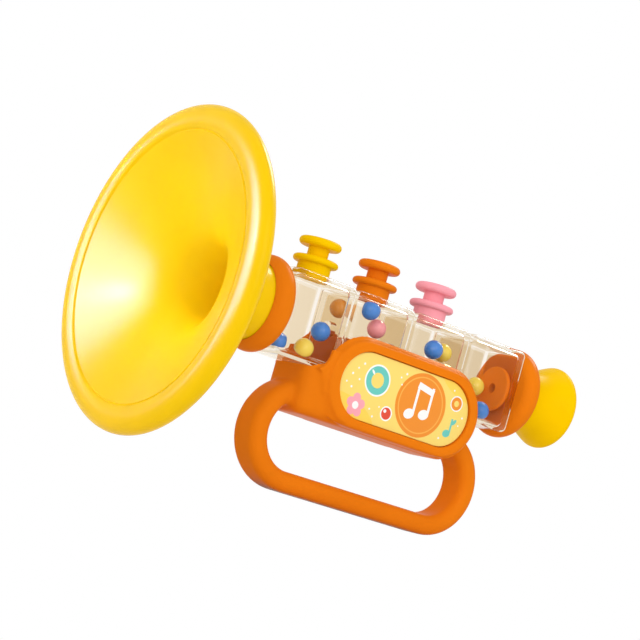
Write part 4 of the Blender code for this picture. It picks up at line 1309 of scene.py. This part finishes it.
def badge_material(name, centre, facing, colours):
    """The printed face of a badge, drawn in millimetres from its middle."""
    material, tree, shader = start_material(name)
    place = add_node(tree, "ShaderNodeTexCoord").outputs["Object"]
    shift = vector_maths(tree, "SUBTRACT", place, (centre.x, 0, centre.z))
    spot = vector_maths(tree, "MULTIPLY", shift, (-facing / MM, 0, 1 / MM))
    discs = [
        ("spot", x, z, radius, radius, 0, ink) for x, z, *inks in DISCS for radius, ink in inks
    ]
    dots = [("spot", x, z, radius, radius, 0, ink) for ink, *row in DOTS for x, z, radius in row]
    ground = rgba(colours.paper)
    for kind, x, z, across, up, turn, ink in (*SHADES, *discs, *MARKS, *dots):
        mask = add_node(tree, "ShaderNodeGroup", {
            "Position": spot, "Centre": (x, 0, z), "Across": across, "Up": up,
            "Turn": math.radians(turn),
        }, node_tree=mask_group(kind)).outputs["Mask"]
        ground = mixed(tree, mask, ground, rgba(getattr(colours, ink)))
    fine = noise(tree, place, scale=700.0, detail=2.0)
    rub = ranged(tree, fine, 0.0, 1.0, to={"To Min": 0.28, "To Max": 0.4})
    feed(shader, {"Base Color": ground, "Roughness": rub})
    return material


class TRUMPET_OT_badges(bpy.types.Operator):
    """Model the two printed badges in the handle"""

    bl_idname = "trumpet.badges"
    bl_label = "Badges"

    def execute(self, context):
        colours = context.scene.trumpet_colours
        edge = context.scene.trumpet_handle.badge_ease
        for node, facing in (("badge_front", -1), ("badge_rear", 1)):
            low, high, middle = box_and_middle(node)
            outline = oval((middle.x, middle.z), high.x - low.x, high.z - low.z, OVAL_STEPS)
            near, far = (high.y, low.y) if facing < 0 else (low.y, high.y)
            piece = slab(node + "_finish", outline, near, far)
            pick(piece, "EDGE", lambda side: all(
                abs(vert.co.y - far) < SEED for vert in side.verts
            ))
            round_edges(edge, steps=3)
            close_surface()
            smooth_shading(piece, CRISP_ANGLE)
            dress(piece, BODY, "badge_print", badge_material(node, middle, facing, colours), node)
        return {"FINISHED"}


class TRUMPET_OT_screws(bpy.types.Operator):
    """Turn the handle's screws with a cross recess in each head"""

    bl_idname = "trumpet.screws"
    bl_label = "Screws"

    def execute(self, context):
        steel = metal("Screw steel", context.scene.trumpet_colours.steel, 0.28)
        low, high, middle = box_and_middle(SCREWS[0])
        head = (high.x - low.x) / 2
        shank = head * 0.55
        tall = context.scene.trumpet_handle.screw_head
        under = high.y - tall
        outline = [(low.y, 0), (low.y + 1.2 * MM, shank), (under, shank), (under, head)]
        for step in range(DOME_STEPS + 1):
            turn = QUARTER_TURN * step / DOME_STEPS
            outline.append((under + tall * (0.45 + 0.55 * math.sin(turn)), head * math.cos(turn)))
        first = turned_piece(SCREWS[0] + "_finish", outline, "Y", middle, SMALL_SIDES, closed=False)
        long, deep, wide = head * 0.62, 0.9 * MM, 0.3 * MM
        top = Vector((middle.x, high.y, middle.z))
        for size in (Vector((long, deep, wide)), Vector((wide, deep, long))):
            cut_with(first, block("Cross", top - size, top + size))
        smooth_shading(first, CRISP_ANGLE)
        for piece, node in zip(copies_at(first, SCREWS), SCREWS):
            dress(piece, BODY, "steel", steel, node)
        return {"FINISHED"}


class TRUMPET_OT_beads(bpy.types.Operator):
    """Model the loose beads, each with a faint moulding mark"""

    bl_idname = "trumpet.beads"
    bl_label = "Beads"

    def execute(self, context):
        colours = context.scene.trumpet_colours
        shades = {
            "blue": colours.blue, "yellow": colours.lemon,
            "orange": colours.ochre, "pink": colours.pink,
        }
        for piece, node in zip(copies_at(self.model(BEADS[0]), BEADS), BEADS):
            name = node.split("_")[1]
            material = plastic("Bead " + name, shades[name], polish=0.12, coat=1.0)
            dress(piece, node, name + "_plastic", material, node)
        return {"FINISHED"}

    def model(self, node):
        low, high, middle = box_and_middle(node)
        radius = (high.z - low.z) / 2
        bead = add_shape(
            bpy.ops.mesh.primitive_uv_sphere_add, node + "_finish", segments=64, ring_count=32,
            radius=radius, location=middle,
        )
        pick(bead, "FACE", lambda face: face.calc_center_median().z > middle.z + radius * 0.985)
        bpy.ops.mesh.inset(thickness=radius * 0.02, depth=-radius * 0.02)
        close_surface()
        smooth_shading(bead, math.radians(40))
        return bead


# Stage

VIEW_PLACE = (-0.53997, -0.71577, -0.02194)
VIEW_RIGHT = (0.76401, -0.58505, 0.27203)
VIEW_DOWN = (0.28152, -0.07708, -0.95645)
MIRRORED_ONLY = ("Gloss", "Glow", "Spark", "Edge")
BELL_ONLY = ("Gloss", "Glow", "Spark", "Throat")


def beam(length, around, up):
    """A vector of a length, turned by degrees round Z from +X and up from the floor."""
    around = math.radians(around)
    up = math.radians(up)
    return length * Vector((
        math.cos(up) * math.cos(around), math.cos(up) * math.sin(around), math.sin(up),
    ))


class TRUMPET_OT_stage(bpy.types.Operator):
    """Lay the floor, hang the soft lights and set the camera"""

    bl_idname = "trumpet.stage"
    bl_label = "Stage"

    def execute(self, context):
        stage = context.scene.trumpet_stage
        self.floor(context.scene.trumpet_colours)
        self.world(context, stage)
        self.lamps(stage)
        self.camera(context, stage)
        context.scene.view_settings.view_transform = "Standard"
        return {"FINISHED"}

    def floor(self, colours):
        """A pale floor that is white in mirrors and glass, and clear from below."""
        floor = add_shape(
            bpy.ops.mesh.primitive_plane_add, "floor", size=6, location=(0, 0, -0.5 * MM),
        )
        material, tree, shader = start_material("Pale floor")
        place = add_node(tree, "ShaderNodeTexCoord").outputs["Object"]
        grain = noise(tree, place, scale=3.0, detail=1.0)
        tint = mixed(tree, grain, rgba(colours.floor), rgba(colours.floor, 0.985))
        feed(shader, {"Base Color": tint, "Roughness": 0.9, "Specular IOR Level": 0.1})
        path = add_node(tree, "ShaderNodeLightPath").outputs
        mirrored = largest(tree, path["Is Glossy Ray"], path["Is Transmission Ray"])
        white = add_node(tree, "ShaderNodeEmission").outputs["Emission"]
        shown = blended(tree, mirrored, shader.outputs["BSDF"], white)
        below = add_node(tree, "ShaderNodeNewGeometry").outputs["Backfacing"]
        hole = add_node(tree, "ShaderNodeBsdfTransparent").outputs["BSDF"]
        feed(tree.nodes["Material Output"], {"Surface": blended(tree, below, shown, hole)})
        floor.data.materials.append(material)

    def world(self, context, stage):
        """White wherever it is seen, mirrored or looked at through glass, and softer as light."""
        world = bpy.data.worlds.new("Studio")
        context.scene.world = world
        world.use_nodes = True
        tree = world.node_tree
        path = add_node(tree, "ShaderNodeLightPath").outputs
        seen = largest(
            tree, path["Is Camera Ray"], path["Is Glossy Ray"], path["Is Transmission Ray"],
        )
        strength = ranged(tree, seen, 0.0, 1.0, to={"To Min": stage.sky})
        feed(tree.nodes["Background"], {"Color": WHITE, "Strength": strength})

    def lamps(self, stage):
        """Soft lights, one that is only mirrored, and the bell's own highlights."""
        middle = AXIS_POINT
        mouth = Vector((BELL_LOW.x, 0, AXIS_HEIGHT))
        throat = mouth + Vector((40 * MM, -10 * MM, -9 * MM))
        # Name, place, width, what it is aimed at
        lamps = (
            ("Key", Vector((-1.1, 0.1, 0.4)), 0.5, middle),
            ("Fill", Vector((-0.2, -1.1, 0.5)), 0.9, middle),
            ("Gloss", mouth + beam(1.2, 157, 3), 1.2, middle),
            ("Glow", mouth + beam(1.2, 168, 12), 0.97, middle),
            ("Spark", mouth + beam(1.2, 169, 17), 0.13, middle),
            ("Edge", middle + beam(1.2, 15, 50), 0.5, middle),
            ("Throat", mouth + beam(0.6, 148, 18), 0.06, throat),
            ("Side", middle + beam(1.1, 218, 3), 0.6, middle),
        )
        for name, place, width, target in lamps:
            clear_selection()
            aim = (target - place).to_track_quat("-Z", "Y").to_euler()
            kind = "SPOT" if name == "Throat" else "AREA"
            bpy.ops.object.light_add(type=kind, location=place, rotation=aim)
            lamp = bpy.context.object
            lamp.name = name + " light"
            lamp.data.energy = getattr(stage, name.lower() + "_power")
            if kind == "SPOT":
                lamp.data.shadow_soft_size = width / 2
                lamp.data.spot_size = math.radians(11)
                lamp.data.spot_blend = 1.0
                lamp.visible_glossy = False
            else:
                lamp.data.shape = "DISK"
                lamp.data.size = width
                lamp.visible_diffuse = name not in MIRRORED_ONLY
            if name in ("Gloss", "Glow"):
                lamp.data.color = (1.0, 0.5, 1.0)
            if name in BELL_ONLY or name == "Side":
                lamp.light_linking.receiver_collection = self.lit_pieces(name in BELL_ONLY)

    def lit_pieces(self, bell):
        """The bell alone, or every piece but the bell, for the lights that are only theirs."""
        name = "Bell" if bell else "All but the bell"
        if name in bpy.data.collections:
            return bpy.data.collections[name]
        group = bpy.data.collections.new(name)
        for piece in bpy.data.objects:
            if piece.type == "MESH" and (piece.name == "bell_finish") == bell:
                group.objects.link(piece)
        return group

    def camera(self, context, stage):
        clear_selection()
        bpy.ops.object.camera_add(location=VIEW_PLACE)
        camera = context.object
        camera.name = "Photo view"
        right = Vector(VIEW_RIGHT).normalized()
        back = right.cross(-Vector(VIEW_DOWN)).normalized()
        up = back.cross(right)
        camera.rotation_euler = Matrix((right, up, back)).transposed().to_euler()
        camera.data.lens = stage.lens
        camera.data.sensor_width = 36
        camera.data.clip_start = 0.01
        context.scene.camera = camera


class TRUMPET_PT_panel(bpy.types.Panel):
    """The trumpet's pieces in the sidebar"""

    bl_label = "Toy trumpet"
    bl_idname = "TRUMPET_PT_panel"
    bl_space_type = "VIEW_3D"
    bl_region_type = "UI"
    bl_category = "Trumpet"

    def draw(self, context):
        for operator in OPERATORS:
            self.layout.operator(operator.bl_idname)
        for name in SETTINGS:
            box = self.layout.box()
            group = getattr(context.scene, name)
            for label in group.__annotations__:
                box.prop(group, label)


SETTINGS = {
    "trumpet_bell": TrumpetBellSizes,
    "trumpet_rings": TrumpetRingSizes,
    "trumpet_mouth": TrumpetMouthSizes,
    "trumpet_case": TrumpetCaseSizes,
    "trumpet_valves": TrumpetValveSizes,
    "trumpet_handle": TrumpetHandleSizes,
    "trumpet_colours": TrumpetColours,
    "trumpet_stage": TrumpetStageSizes,
}
OPERATORS = (
    TRUMPET_OT_bell,
    TRUMPET_OT_rings,
    TRUMPET_OT_mouthpiece,
    TRUMPET_OT_boxes,
    TRUMPET_OT_valves,
    TRUMPET_OT_handle,
    TRUMPET_OT_badges,
    TRUMPET_OT_screws,
    TRUMPET_OT_beads,
    TRUMPET_OT_stage,
)


def register():
    for name, kind in SETTINGS.items():
        bpy.utils.register_class(kind)
        setattr(bpy.types.Scene, name, bpy.props.PointerProperty(type=kind))
    for kind in (*OPERATORS, TRUMPET_PT_panel):
        bpy.utils.register_class(kind)


def unregister():
    for kind in (TRUMPET_PT_panel, *reversed(OPERATORS)):
        bpy.utils.unregister_class(kind)
    for name, kind in reversed(SETTINGS.items()):
        delattr(bpy.types.Scene, name)
        bpy.utils.unregister_class(kind)


def main():
    register()
    for operator in OPERATORS:
        group, name = operator.bl_idname.split(".")
        getattr(getattr(bpy.ops, group), name)()
    clear_selection()


if __name__ == "__main__":
    main()
